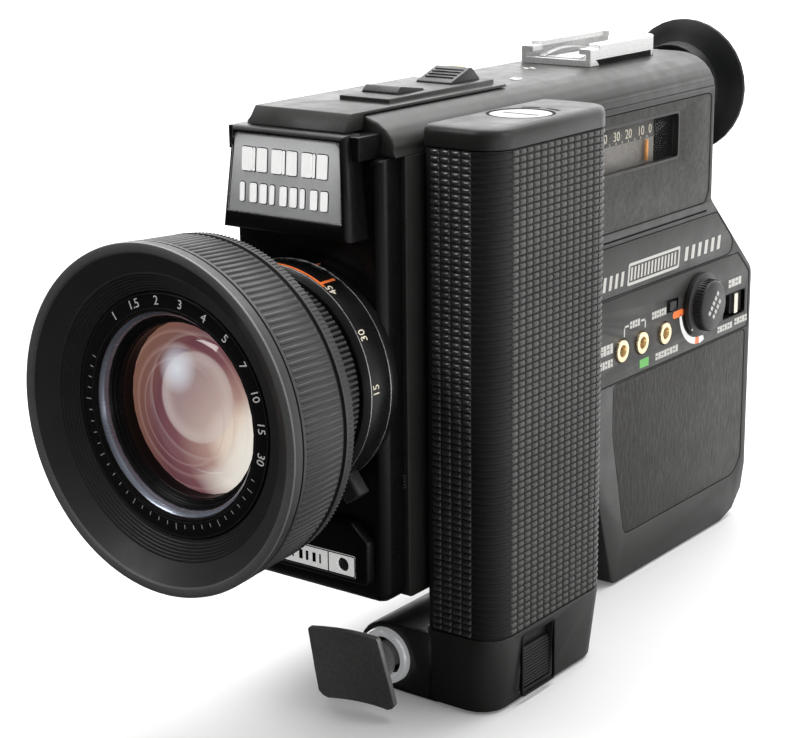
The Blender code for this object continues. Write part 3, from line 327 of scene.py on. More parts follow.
def make_metals():
    finish("anodised", (0.007, 0.007, 0.007), 0.3, 2600, 0.005, 0.1, spec=0.22)
    finish("baffle_black", (0.045, 0.045, 0.044), 0.42, 2600, 0.01)
    finish("satin_silver", (0.70, 0.70, 0.695), 0.34, 1800, 0.006, 0.15, metal=0.1, mottle=0.03)
    brushed("turned_disc", (0.40, 0.40, 0.395), 0.5, around=SCREW_CENTRE, metal=0.3)
    # Half diffuse and blue-grey: painted reflection on the chrome retaining ring.
    brushed("chrome_ring_painted_sheen", (0.40, 0.44, 0.53), 0.22, metal=0.55)
    # It glows: painted reflection in the polished collar.
    brushed("polished_collar_painted_reflection", (0.92, 0.93, 0.95), 0.2, metal=0.5, glow=0.22)
    brushed("steel", (0.56, 0.56, 0.57), 0.32)
    brushed("brass", (0.86, 0.70, 0.46), 0.3)


def make_prints_and_glass():
    # The white label glows: painted light.
    printed("mic_label_painted_glow", (0.92, 0.92, 0.91), 0.4, glow=0.45)
    # The badge's white bars glow: painted light.
    printed("white_enamel_painted_glow", (0.96, 0.96, 0.95), 0.35, glow=0.55)
    printed("white_mark", (0.86, 0.86, 0.84))
    printed("small_print", (0.50, 0.49, 0.46))
    printed("cream_mark", (0.78, 0.72, 0.58))
    printed("orange_mark", (0.90, 0.20, 0.045))
    printed("amber_mark", (0.85, 0.36, 0.09))
    printed("green_mark", (0.10, 0.42, 0.07))
    printed("yellow_mark", (0.85, 0.72, 0.40))
    printed("grey_mark", (0.45, 0.44, 0.42))
    glass_painted_reflections()
    clear_glass("clear_pane", 0.6)
    clear_glass("counter_pane", 0.05)
    clear_glass("smoked_pane", 0.02)


# ---------------------------------------------------------------- mesh makers

AXES = {
    "X": lambda u, v, w: (w, u, v),   # outline in (Y, Z), pushed along X
    "Y": lambda u, v, w: (u, w, v),   # outline in (X, Z), pushed along Y
    "Z": lambda u, v, w: (u, v, w),   # outline in (X, Y), pushed along Z
}


def quarter(u, v, radius, start, steps):
    """Points of a quarter circle round (u, v)."""
    turns = [math.radians(start + 90 * step / steps) for step in range(steps + 1)]
    return [(u + radius * math.cos(turn), v + radius * math.sin(turn)) for turn in turns]


def rounded(low, high, radius, steps=4):
    """A rectangle with round corners, as (u, v) points."""
    corners = ((high[0] - radius, low[1] + radius, -90), (high[0] - radius, high[1] - radius, 0),
               (low[0] + radius, high[1] - radius, 90), (low[0] + radius, low[1] + radius, 180))
    return [point for u, v, start in corners for point in quarter(u, v, radius, start, steps)]


def rectangle(u0, u1, v0, v1, lean=0.0):
    """A rectangle's four (u, v) corners; lean shifts its top edge along u."""
    return [(u0, v0), (u1, v0), (u1 + lean, v1), (u0 + lean, v1)]


def turned_outline(centre, angle, offsets):
    """Points from (outward, sideways) offsets round a centre, at an angle in the face's plane."""
    turn = math.radians(angle)
    out, side = Vector((math.cos(turn), math.sin(turn))), Vector((-math.sin(turn), math.cos(turn)))
    return [tuple(Vector(centre) + out * a + side * b) for a, b in offsets]


class Shape:
    """Points and faces collected from simple solids, then made into one piece."""

    def __init__(self):
        self.points, self.faces = [], []

    def loft(self, rings, caps=True):
        """Skin through rings of equal length."""
        base, count, last = len(self.points), len(rings[0]), len(rings) - 1
        faces = []
        for r in range(last):
            for i in range(count):
                j = (i + 1) % count
                faces.append((r * count + i, r * count + j, (r + 1) * count + j, (r + 1) * count + i))
        if caps:
            faces += [tuple(range(count)), tuple(last * count + i for i in range(count))]
        self.points += [Vector(point) for ring in rings for point in ring]
        self.faces += [tuple(base + i for i in face) for face in faces]
        return self

    def prism(self, outline, axis, low, high):
        place = AXES[axis]
        return self.loft([[place(u, v, w) for u, v in outline] for w in (low, high)])

    def block(self, low, high):
        return self.prism(rectangle(low[0], high[0], low[1], high[1]), "Z", low[2], high[2])

    def rim(self, axis, *sections):
        """A hollow frame: skin through (height, outline) sections and back to the first."""
        place = AXES[axis]
        rings = [[place(u, v, w) for u, v in outline] for w, outline in sections]
        return self.loft(rings + rings[:1], caps=False)

    def square_rim(self, axis, outer, inner, back, front):
        return self.rim(axis, (back, outer), (front, outer), (front, inner), (back, inner))

    def turned(self, profile, centre=AXIS, axis="Y", sides=96, closed=True):
        """A (radius, along) profile turned about an axis; closed joins its last point to its first."""
        place = AXES[axis]
        turns = [2 * math.pi * s / sides for s in range(sides)]
        rings = []
        for radius, along in profile + profile[:1] if closed else profile:
            reach = max(radius, 0.001)
            rings.append([place(centre[0] + reach * math.cos(turn), centre[1] + reach * math.sin(turn), along)
                          for turn in turns])
        return self.loft(rings, caps=False)

    def hoop(self, inner, outer, low, high):
        """A ring of rectangular section round the lens axis."""
        return self.turned([(inner, low), (outer, low), (outer, high), (inner, high)], sides=128)

    def arc_bar(self, centre, radius, width, start, end, low, high, axis="X", taper=None):
        """A flat bar bent round a centre; taper gives the width's share along it."""
        outline, steps = [], 16
        for side, order in ((1, range(steps + 1)), (-1, range(steps, -1, -1))):
            for step in order:
                share = step / steps
                wide = width * (taper(share) if taper else 1.0)
                angle = math.radians(start + (end - start) * share)
                reach = radius + side * wide / 2
                outline.append((centre[0] + reach * math.cos(angle), centre[1] + reach * math.sin(angle)))
        return self.prism(outline, axis, low, high)

    def piece(self, name, look, body="camera_body", smooth=35.0, bevel=0.0, weld=True, slot=None,
              replaces=None):
        """Makes the object; replaces names the CAD node that it hides. slot is not used."""
        mesh = bpy.data.meshes.new(name)
        mesh.from_pydata([p * MM for p in self.points], [], self.faces)
        work = bmesh.new()
        work.from_mesh(mesh)
        if weld:
            bmesh.ops.remove_doubles(work, verts=work.verts, dist=0.0005 * MM)
        bmesh.ops.recalc_face_normals(work, faces=work.faces)
        work.to_mesh(mesh)
        work.free()
        made = add_object(name, mesh)
        mesh.materials.append(LOOKS[look])
        soften(made, bevel, 40, smooth)
        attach(made, body)
        if replaces:
            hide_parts(replaces)
        return made


def soften(thing, bevel, bevel_angle, smooth):
    """Small round edges on a finished mesh, and smooth shading between them."""
    if bevel:
        edge = thing.modifiers.new("edge", "BEVEL")
        edge.width, edge.segments = bevel * MM, 2
        edge.limit_method, edge.angle_limit = "ANGLE", math.radians(bevel_angle)
    thing.data.shade_smooth()
    thing.data.set_sharp_from_angle(angle=math.radians(smooth))


def knurl(name, look, body, axis, centre, count, tooth, near, far):
    """Equal teeth round a turned part; tooth is an (outward, sideways) section."""
    teeth = Shape()
    for step in range(count):
        teeth.prism(turned_outline(centre, 360 * step / count, tooth), axis, near, far)
    teeth.piece(name, look, body, weld=False)


def plate(name, look, body, axis, low, high, radius, steps, near, far, bevel=0.0):
    """A flat plate with round corners, lying across an axis."""
    Shape().prism(rounded(low, high, radius, steps), axis, near, far).piece(name, look, body, bevel=bevel)


def numeral(name, text, size, origin, right, up, look, body, depth=0.08):
    """Engraved or printed numbers as a thin solid; origin is their middle, on the surface."""
    curve = bpy.data.curves.new(name + "_text", "FONT")
    curve.body, curve.size, curve.extrude = text, size * MM, depth / 2 * MM
    curve.align_x, curve.align_y = "CENTER", "CENTER"
    curve.resolution_u = 3
    holder = add_object(name + "_text", curve)
    bpy.context.view_layer.update()
    mesh = bpy.data.meshes.new_from_object(holder.evaluated_get(bpy.context.evaluated_depsgraph_get()))
    bpy.data.objects.remove(holder)
    turn = Matrix((right, up, right.cross(up))).transposed().to_4x4()
    mesh.transform(Matrix.Translation(Vector(origin) * MM) @ turn)
    made = add_object(name, mesh)
    mesh.materials.clear()
    mesh.materials.append(LOOKS[look])
    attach(made, body)


def screws(prefix, places, axis, radius, turn, turn_step=0, outward=1):
    for index, place in enumerate(places):
        screw(f"{prefix}_{index}", place, axis, radius, turn + turn_step * index, outward)


def screw(name, place, axis, radius, turn, outward):
    """A slotted countersunk screw head standing 0.3 mm proud of place; its slot is a black bar, painted
    shade.
    """
    order = {"X": (1, 2, 0), "Y": (0, 2, 1), "Z": (0, 1, 2)}[axis]
    u, v, w = (place[i] for i in order)
    rise = 0.3 * outward
    profile = [(0.0, w - rise), (radius, w - rise), (radius, w + rise * 0.5), (radius * 0.8, w + rise),
               (0.0, w + rise)]
    Shape().turned(profile, (u, v), axis, 28, closed=False).piece(name, "steel")
    # The slot is drawn as a black bar on the head, not cut: painted shade.
    half_long, half_wide, top = radius * 0.82, radius * 0.13, w + rise * 1.06
    outline = turned_outline((u, v), turn, rectangle(-half_long, half_long, -half_wide, half_wide))
    Shape().prism(outline, axis, min(w, top), max(w, top)).piece(name + "_slot", "deep_black")


# ---------------------------------------------------------------- grip

GRIP_LOW, GRIP_HIGH = box("grip_sleeve")
OUTER_ROUND, INNER_ROUND = 7.0, 2.6
PAD_PROUD = 0.55
ROWS = 71
SIDE_COLUMNS, FRONT_COLUMNS = 13, 4
PAD_STATIONS = ((0.0, 0.0), (0.18, 0.7), (0.5, 1.0))   # (distance from a pad's end, share of its height)


def straight_pads(shape, start, end, out, columns, gap, low, high, fullness):
    """One row of pads along a straight stretch; out is the direction that they stand proud in."""
    start, end = Vector((*start, 0)), Vector((*end, 0))
    step = (end - start) / columns
    side = step.normalized()
    for column in range(columns):
        a = start + step * column + side * gap / 2
        b = start + step * (column + 1) - side * gap / 2
        stations = [(a + side * reach, height) for reach, height in PAD_STATIONS]
        stations += [(b - side * reach, height) for reach, height in PAD_STATIONS[::-1]]
        shape.loft([pad_ring(place, out, height, low, high, fullness) for place, height in stations])


def pad_ring(place, out, height, low, high, fullness, steps=6):
    """A half-round section of a pad: flat behind, bulging along out by height."""
    ring = [place + Z * low - out * 0.3, place + Z * high - out * 0.3]
    for step in range(steps, -1, -1):
        share = step / steps
        bulge = math.sin(math.pi * share) ** fullness if 0 < share < 1 else 0.0
        ring.append(place + Z * (low + (high - low) * share) + out * PAD_PROUD * height * bulge)
    return ring


def corner_rib(shape, centre, start, low, high, proud, turns=9):
    """One thin rib carried round a vertical outside corner of the grip."""
    section = ((-0.3, low), (-0.3, high), (proud * 0.5, high - 0.1), (proud, (low + high) / 2),
               (proud * 0.5, low + 0.1))
    rings = []
    for turn in range(turns + 1):
        angle = math.radians(start + 90 * turn / turns)
        out = Vector((math.cos(angle), math.sin(angle), 0))
        place = Vector((*centre, 0)) + out * (OUTER_ROUND - PAD_PROUD)
        rings.append([place + Z * height + out * reach for reach, height in section])
    shape.loft(rings)


def sleeve_ground():
    """The plain block under the pads: tight corners inside, wide ones outside."""
    near, front = GRIP_LOW.x + INNER_ROUND, GRIP_LOW.y
    far, rear = GRIP_HIGH.x - OUTER_ROUND, GRIP_HIGH.y
    outline = quarter(near, front + INNER_ROUND, INNER_ROUND - PAD_PROUD, 180, 8)
    outline += quarter(far, front + OUTER_ROUND, OUTER_ROUND - PAD_PROUD, 270, 8)
    outline += quarter(far, rear - OUTER_ROUND, OUTER_ROUND - PAD_PROUD, 0, 8)
    outline += quarter(near, rear - INNER_ROUND, INNER_ROUND - PAD_PROUD, 90, 8)
    ground = Shape().prism(outline, "Z", GRIP_LOW.z, GRIP_HIGH.z)
    # The ground is darker than the pads: painted shade in the gaps between them.
    ground.piece("sleeve_ground", "grip_ground_painted_shade", "grip", smooth=40, slot="rubber", replaces="grip_sleeve")


def grip_sleeve():
    """The ribbed rubber sleeve: rows of pads on its front and side, fine ribs round its corners."""
    sleeve_ground()
    near, far = GRIP_LOW.x + INNER_ROUND, GRIP_HIGH.x - OUTER_ROUND
    front, rear, face = GRIP_LOW.y + PAD_PROUD, GRIP_HIGH.y - PAD_PROUD, GRIP_HIGH.x - PAD_PROUD
    corner_front, corner_rear = (far, GRIP_LOW.y + OUTER_ROUND), (far, GRIP_HIGH.y - OUTER_ROUND)
    ahead, behind = ((near, front), (far, front)), ((far, rear), (near, rear))
    side = ((face, corner_front[1]), (face, corner_rear[1]))
    pads, front_pads, ribs, corner = Shape(), Shape(), Shape(), Shape()
    pitch = (GRIP_HIGH.z - GRIP_LOW.z) / ROWS
    for row in range(ROWS):
        a = GRIP_LOW.z + pitch * row
        b = a + pitch
        straight_pads(front_pads, *ahead, -Y, FRONT_COLUMNS, 0.3, a + 0.1, b - 0.12, 0.75)
        straight_pads(pads, *side, X, SIDE_COLUMNS, 0.26, a + 0.09, b - 0.09, 0.42)
        corner_rib(corner, corner_front, -90, a + 0.18, b - 0.32, PAD_PROUD * 0.55)
        corner_rib(ribs, corner_rear, 0, a + 0.1, b - 0.2, PAD_PROUD)
        straight_pads(ribs, *behind, Y, 1, 0.0, a + 0.1, b - 0.2, 0.5)
    # The front corner's ribs are darker than the other pads: painted shade.
    for name, shape, look in (("sleeve_pads", pads, "grip_pads"),
                              ("sleeve_front_pads", front_pads, "grip_front_pads"),
                              ("sleeve_corner_ribs", corner, "grip_corner_ribs_painted_shade"),
                              ("sleeve_ribs", ribs, "grip_pads")):
        shape.piece(name, look, "grip", smooth=50, weld=False, slot="rubber")


def battery_cap():
    """Marks moulded into the cap, the dark ring round its slotted disc and a black floor in the slot, which
    is painted shade.
    """
    centre, top = SCREW_CENTRE, box("battery_cap")[1].z
    seat = [(7.55, top - 0.9), (7.55, top + 0.02), (7.85, top + 0.06), (8.25, top + 0.02), (8.25, top - 0.9)]
    Shape().turned(seat, centre, "Z", 72).piece("cap_seat_ring", "deep_black", "cap")
    marks = Shape()
    for start, end in ((58, 84), (96, 122)):
        marks.arc_bar(centre, 9.9, 1.0, start, end, top - 0.15, top + 0.05, "Z")
    marks.piece("cap_marks", "deep_black", "cap")
    outline = rectangle(centre.x - 4.9, centre.x + 4.9, centre.y - 0.65, centre.y + 0.65)
    # The black floor in the slot is painted shade.
    Shape().prism(outline, "Z", top - 1.25, top - 0.3).piece("cap_slot_painted_shade", "deep_black", "screw")


def grip_latch():
    """The rim of the latch's recess at the grip's foot, and the ribbed latch in it."""
    low, high = box("grip_latch")
    outer = rounded((low.y - 1.6, low.z - 1.3), (high.y + 1.2, high.z + 4.6), 1.0)
    inner = rounded((low.y - 1.0, low.z - 0.7), (high.y + 0.6, high.z + 4.0), 0.7)
    recess = Shape().square_rim("X", outer, inner, GRIP_HIGH.x - 0.6, GRIP_HIGH.x + 0.04)
    # The rim takes the near-black front finish: painted shade round the recess.
    recess.piece("latch_recess_rim", "front", "grip")
    tab = Shape().prism(rounded((low.y, low.z), (high.y, high.z), 0.4, 3), "X", low.x, high.x - 0.55)
    count = 12
    pitch = (high.z - low.z - 0.8) / count
    for index in range(count):
        z = low.z + 0.4 + pitch * index
        rib = rectangle(low.y + 0.25, high.y - 0.25, z + 0.1, z + pitch * 0.62)
        tab.prism(rib, "X", high.x - 0.7, high.x)
    tab.piece("latch_tab", "button", "grip_latch", bevel=0.08, slot="button", replaces="grip_latch")


# ---------------------------------------------------------------- lens

HOOD_LOW, HOOD_HIGH = box("lens_hood")
HOOD_FRONT, HOOD_REAR = HOOD_LOW.y, HOOD_HIGH.y
HOOD_FRONT_R, HOOD_REAR_R = (HOOD_HIGH.x - HOOD_LOW.x) / 2, 38.4
LIP_END, DRUM_END = HOOD_FRONT + 4.4, HOOD_REAR - 4.0
MOUTH, THROAT = (37.3, HOOD_FRONT + 0.5), (28.0, -183.6)   # ends of the inner wall, (radius, along)
BAFFLES = 7
BEZEL_NUMBERS = ("1", "1.5", "2", "3", "4", "5", "7", "10", "15", "30")
ZOOM_R, FOCUS_R, KNURL_R = 27.5, 25.4, 25.35


def radial(angle):
    """Outward and sideways directions round the lens axis; the angle runs from +X towards +Z."""
    turn = math.radians(angle)
    return Vector((math.cos(turn), 0, math.sin(turn))), Vector((-math.sin(turn), 0, math.cos(turn)))


def on_ring(radius, angle, along=0.0):
    """A point on a ring round the lens axis."""
    return Vector((AXIS[0], along, AXIS[1])) + radial(angle)[0] * radius


def hood_skin(y, less=0.0):
    """The hood's outer radius, which tapers towards the rear."""
    slope = (HOOD_FRONT_R - HOOD_REAR_R) / (HOOD_REAR - HOOD_FRONT)
    return HOOD_FRONT_R - slope * (y - HOOD_FRONT) - less


def hood_profile():
    """The hood's section, from its mouth round the outside to the throat, then the baffles inside."""
    skin, front, rear = hood_skin, HOOD_FRONT, HOOD_REAR
    lip = [MOUTH, (37.7, front + 0.12), (38.2, front), (skin(front, 0.45), front),
           (skin(front, 0.1), front + 0.15), (skin(front), front + 0.6), (skin(front + 3.0), front + 3.0),
           (skin(front + 3.1, 0.35), front + 3.1), (skin(front + 3.5, 0.35), front + 3.5),
           (skin(front + 3.6), front + 3.6), (skin(LIP_END), LIP_END)]
    drum = [(skin(LIP_END, 0.55), LIP_END + 0.15), (skin(DRUM_END, 0.55), DRUM_END),
            (skin(DRUM_END, 0.9), DRUM_END + 0.1), (skin(DRUM_END, 0.9), DRUM_END + 0.7),
            (skin(DRUM_END + 0.8, 0.1), DRUM_END + 0.8), (skin(DRUM_END + 1.3, 0.1), DRUM_END + 1.3),
            (skin(DRUM_END, 0.6), DRUM_END + 1.4), (skin(rear, 0.45), rear - 0.2), (skin(rear, 0.8), rear)]
    inside = [(36.2, rear), (36.4, rear - 12.0), (30.4, rear - 10.4), (30.4, rear - 6.4), (28.0, rear - 6.4),
              THROAT]
    for step in range(BAFFLES):
        share = 0.06 + 0.42 * step / (BAFFLES - 1)
        radius, along = (a + (b - a) * share for a, b in zip(THROAT, MOUTH))
        inside += [(radius - 0.28, along + 0.3), (radius - 0.22, along - 0.05), (radius + 0.22, along + 0.02)]
    return lip + drum + inside


def teeth_round(count, section, stations):
    """Teeth round the lens axis: (sideways, height) sections at (along, radius, share of height) stations."""
    teeth = Shape()
    for index in range(count):
        out, side = radial(360 * index / count)
        teeth.loft([[Vector((AXIS[0], along, AXIS[1])) + out * (radius + height * share) + side * half
                     for half, height in section] for along, radius, share in stations])
    return teeth


def lens_hood():
    """The wide rubber hood: a grooved front lip, a ribbed drum, a serrated rear rim and inner baffles."""
    shell = Shape().turned(hood_profile(), sides=160)
    made = shell.piece("hood_shell", "hood_coat", "focus", smooth=30, slot="rubber", replaces="lens_hood")
    made.data.materials.append(LOOKS["baffle_black"])
    made.data.materials.append(LOOKS["hood_lip_painted_light"])
    for face in made.data.polygons:
        centre = face.center / MM
        reach = math.hypot(centre.x - AXIS[0], centre.z - AXIS[1])
        if reach < 36.4 and centre.y < HOOD_REAR - 8:
            face.material_index = 1
        # The lip's front face takes the lighter copy: painted light on the rim.
        elif centre.y < HOOD_FRONT + 0.5:
            face.material_index = 2

    section = ((-0.56, -0.1), (-0.42, 0.28), (-0.18, 0.48), (0.18, 0.48), (0.42, 0.28), (0.56, -0.1))
    stations = [(y, hood_skin(y, 0.6), share) for y, share in
                ((LIP_END + 0.25, 0.0), (LIP_END + 0.7, 1.0), (DRUM_END - 0.6, 1.0), (DRUM_END - 0.1, 0.0))]
    ribs = teeth_round(150, section, stations)
    ribs.piece("hood_ribs", "hood_coat", "focus", smooth=50, weld=False, slot="rubber")
    section = ((-0.36, -0.15), (-0.14, 0.38), (0.14, 0.38), (0.36, -0.15))
    stations = [(y, hood_skin(HOOD_REAR, 0.6), 1.0) for y in (DRUM_END + 1.5, HOOD_REAR - 0.25)]
    teeth = teeth_round(220, section, stations)
    teeth.piece("hood_rear_teeth", "hood_coat", "focus", smooth=30, weld=False, slot="rubber")


def bar_round(shape, foot, angle, half, near, far, low, high):
    """A thin bar from near to far along the lens, and from low to high outwards from its foot."""
    out, side = radial(angle)
    shape.loft([[foot + out * h + side * s + Y * t for s, t in rectangle(-half, half, near, far)]
                for h in (low, high)])


def front_optics():
    """The front element's retaining ring and stepped stops, and the engraved bezel."""
    front = box("front_barrel")[0].y
    profile = [(22.2, 3.3), (22.2, 2.2), (22.5, 1.5), (23.2, 0.9), (23.45, 1.0), (23.35, 1.6), (23.2, 3.3)]
    ring = Shape().turned([(radius, front + along) for radius, along in profile], sides=160)
    ring.piece("retaining_ring", "chrome_ring_painted_sheen", "focus")
    stops = Shape()
    for r, along in ((22.1, 3.6), (21.3, 4.4), (20.7, 5.3)):
        y = front + along
        profile = [(r - 0.7, y + 0.9), (r - 0.7, y + 0.15), (r - 0.55, y), (r, y), (r, y + 0.9)]
        stops.turned(profile, sides=128)
    stops.piece("inner_stops", "anodised", "focus")
    face = front - 0.03
    ticks = Shape()
    for index in range(26, 57):   # 6 degrees apart, where the bezel has no numbers
        length = 0.95 if index % 5 else 1.5
        bar_round(ticks, on_ring(0.0, 0), 6 * index, 0.1, face, front + 0.1, 24.7, 24.7 + length)
    ticks.piece("bezel_ticks", "grey_mark", "focus", weld=False)
    for index, text in enumerate(BEZEL_NUMBERS):
        angle = 128 - 15.5 * index
        out, side = radial(angle)
        numeral(f"bezel_number_{index}", text, 2.9, on_ring(25.9, angle, face), -side, out, "white_mark",
                "focus", 0.06)
    grooves = Shape()
    for radius in (24.2, 27.5):
        grooves.hoop(radius - 0.1, radius + 0.1, front - 0.02, front + 0.1)
    grooves.piece("bezel_lines", "button", "focus")


def ring_numbers(prefix, body, size, radius, along, numbers):
    """Numbers on a lens ring, read from outside with the lens's front to their left."""
    for index, (text, angle) in enumerate(numbers):
        side = radial(angle)[1]
        numeral(f"{prefix}_{index}", text, size, on_ring(radius + 0.02, angle, along), side, -Y, "cream_mark",
                body)


def zoom_marks():
    """The zoom ring's bright lines, numbers and macro line, and the mark on the macro lever."""
    low, high = box("zoom_ring")
    front, rear = low.y, high.y
    for name, y in (("zoom_front_line", front + 1.4), ("zoom_rear_line", rear - 0.35)):
        Shape().hoop(ZOOM_R - 0.32, ZOOM_R + 0.01, y, y + 0.25).piece(name, "steel", "zoom")
    numbers = (("45", 57), ("30", 30), ("15", 3))
    ring_numbers("zoom_number", "zoom", 3.0, ZOOM_R, (front + rear) / 2 - 1.2, numbers)
    macro, steps = Shape(), 12
    for near, far, start, end in ((front + 1.9, front + 2.6, 60, 92), (front + 2.6, rear - 1.6, 62.0, 63.4)):
        angles = [start + (end - start) * i / steps for i in range(steps + 1)]
        ring = [on_ring(ZOOM_R - 0.2, angle) for angle in angles]
        ring += [on_ring(ZOOM_R + 0.04, angle) for angle in angles[::-1]]
        macro.loft([[p + Y * y for p in ring] for y in (near, far)])
    macro.piece("macro_line", "orange_mark", "zoom")
    mark = Shape()
    foot = middle("macro_lever") + radial(-53)[0] * 3.05
    bar_round(mark, foot, -53, 0.25, -1.9, 1.9, -0.3, 0.08)
    mark.piece("macro_mark", "orange_mark", "macro")


def focus_marks():
    """The focus ring's knurl, numbers and dots, and the index mark on the barrel."""
    near, far = -154.6, -150.2
    teeth = Shape()
    for angle in range(0, 360, 3):
        section = [on_ring(radius, angle + shift) for radius, shift in
                   ((KNURL_R, -0.95), (KNURL_R, 0.95), (KNURL_R + 0.43, 0.5), (KNURL_R + 0.43, -0.5))]
        teeth.loft([[p + Y * y for p in section] for y in (near, far)])
    teeth.piece("focus_knurl", "rubber", "focus", weld=False)
    numbers = (("5", 118), ("7", 98), ("10", 78), ("15", 60), ("30", 42))
    ring_numbers("focus_number", "focus", 2.3, FOCUS_R, -158.3, numbers)
    dots = Shape()
    for angle in (110, 90, 70, 51, 34, 20):
        bar_round(dots, on_ring(FOCUS_R - 0.1, angle), angle, 0.12, -162.6, -161.3, 0.0, 0.14)
    dots.piece("focus_marks", "white_mark", "focus")
    index = Shape()
    bar_round(index, on_ring(26.5, 80), 80, 0.2, -139.6, -137.2, 0.0, 0.2)
    index.piece("lens_index", "orange_mark")


# ---------------------------------------------------------------- nameplate, microphone, roof

def head_plane(z):
    """How far forward the badge's face stands at height z: the head leans back as it rises."""
    low, high = box("nameplate_housing")
    base = 117.3
    return low.y + 0.5 + 2.0 * (z - base) / (high.z - base)


def badge_marks():
    """Raised generic bars in two rows on the badge, each on a wider near-black base: the bars' dark sides and
    a painted shadow round them.
    """
    marks, shades = Shape(), Shape()

    def bar(x0, x1, z0, z1):
        for shape, grow, proud in ((marks, 0.0, 0.55), (shades, 0.22, 0.25)):
            radius = min(0.35, (x1 - x0) / 2.2) + grow
            outline = rounded((x0 - grow, z0 - grow), (x1 + grow, z1 + grow), radius, 2)
            shape.loft([[(x, head_plane(z) + shift, z) for x, z in outline] for shift in (-proud, 0.2)])

    top_row, low_row = (131.2, 136.6), (124.0, 128.4)
    for index in range(6):
        x = -12.8 + 4.45 * index
        bar(x, x + 2.9, *top_row)
        if index % 2 == 0:
            bar(x + 3.2, x + 3.8, *top_row)
    for index in range(9):
        x = -13.2 + 3.0 * index
        bar(x, x + (1.9 if index % 3 else 1.2), *low_row)
    # The bars glow: painted light.
    marks.piece("badge_marks", "white_enamel_painted_glow", smooth=30)
    # The dark bases are partly the bars' sides and partly painted shadow.
    shades.piece("badge_mark_sides_painted_shadow", "deep_black", smooth=30)


def badge_outline():
    """A fine bright line round the badge."""
    low, high = box("name_badge")
    line = Shape()
    half_low, half_high, z0, z1 = high.x + 0.12, high.x - 0.95, low.z - 0.15, high.z + 0.15
    cut = 1.3
    outline = [(-half_low, z0), (half_low, z0), (half_high, z1 - cut), (half_high - cut, z1),
               (-half_high + cut, z1), (-half_high, z1 - cut)]
    for (xa, za), (xb, zb) in zip(outline, outline[1:] + outline[:1]):
        along = Vector((xb - xa, 0, zb - za)).normalized()
        across = Vector((-along.z, 0, along.x)) * 0.12
        line.loft([[Vector((x, head_plane(z) - 0.42 + deep, z)) + across * side
                    for side, deep in rectangle(-1, 1, 0, 0.4)] for x, z in ((xa, za), (xb, zb))])
    line.piece("badge_outline", "steel")


def microphone():
    """The plate under the lens: its dividing line and outline, the crossed grille and the printed bars."""
    low, high = box("mic_plate")
    front = low.y
    outer = rounded((low.x, low.z), (high.x, high.z), 0.4, 2)
    inner = rounded((low.x + 0.25, low.z + 0.25), (high.x - 0.25, high.z - 0.25), 0.3, 2)
    lines = Shape().block((6.85, front - 0.04, low.z), (7.15, front + 0.2, high.z))
    lines.square_rim("Y", outer, inner, front + 0.2, front - 0.04).piece("mic_plate_lines", "deep_black")
    x, z, reach, half = 11.4, 37.4, 1.7, 0.12
    grille = Shape()
    for index in range(-2, 3):
        shift = 0.62 * index
        grille.block((x - reach, front + 0.6, z + shift - half), (x + reach, front + 0.8, z + shift + half))
        grille.block((x + shift - half, front + 0.7, z - reach), (x + shift + half, front + 0.9, z + reach))
    grille.piece("mic_grille", "button", weld=False)
    marks = Shape()
    for index, wide in enumerate((1.1, 0.5, 1.1, 0.8, 0.4, 1.1, 0.8, 1.0, 0.5)):
        x = -12.6 + 2.1 * index
        marks.block((x, front - 0.03, 36.2), (x + wide, front + 0.1, 38.6))
    marks.piece("mic_plate_marks", "deep_black")


def accessory_shoe():
    """Floor, side walls with lips that start part way back, and a rounded rear end."""
    low, high = box("accessory_shoe")
    floor_top, lip_low = low.z + 1.6, high.z - 1.4
    corner = 5.0

    def outer(y):
        reach = max(0.0, y - (high.y - corner))
        return high.x - corner + math.sqrt(max(0.0, corner ** 2 - reach ** 2))

    rear_steps = [high.y - corner + corner * math.sin(math.radians(a)) for a in range(0, 91, 11)]
    shoe = Shape()
    for side in (-1, 1):
        rings = []
        for y in [low.y, low.y + 4.6, low.y + 5.0] + rear_steps:
            wide = outer(y)
            lip, inside = min(7.4, wide - 0.7), min(9.6, wide - 0.4)
            step = 1.0 if y < low.y + 4.8 else 0.0
            top, under = high.z - step, lip_low - step
            section = ((wide, low.z), (wide, top - 0.3), (wide - 0.3, top), (lip, top), (lip, under),
                       (inside, under), (inside, low.z))
            rings.append([(side * x, y, z) for x, z in section])
        shoe.loft(rings)
    shoe.loft([[(x, y, z) for x, z in ((-outer(y), low.z), (-outer(y), floor_top), (outer(y), floor_top),
                                       (outer(y), low.z))] for y in [low.y] + rear_steps])
    shoe.piece("shoe_rails", "satin_silver", bevel=0.12, slot="bright_metal", replaces="accessory_shoe")
    shoe_springs(low.y, floor_top)
    screws("shoe_screw", [(0.0, y, floor_top) for y in (low.y + 9, high.y - 9)], "Z", 1.9, 35)


def shoe_springs(front, floor_top, steps=10):
    """Two leaf springs bowed up from the shoe's floor, joined at the front."""
    springs = Shape()
    for side in (-1, 1):
        rings = []
        for step in range(steps + 1):
            share = step / steps
            y = front + 1.5 + 24 * share
            z = floor_top + 0.15 + 1.3 * math.sin(math.pi * share)
            rings.append([(side * x, y, height) for x, height in rectangle(4.6, 7.0, z, z + 0.3)])
        springs.loft(rings)
    springs.block((-4.4, front + 1.5, floor_top - 0.1), (4.4, front + 4.5, floor_top + 0.35))
    springs.piece("shoe_springs", "steel", bevel=0.06)


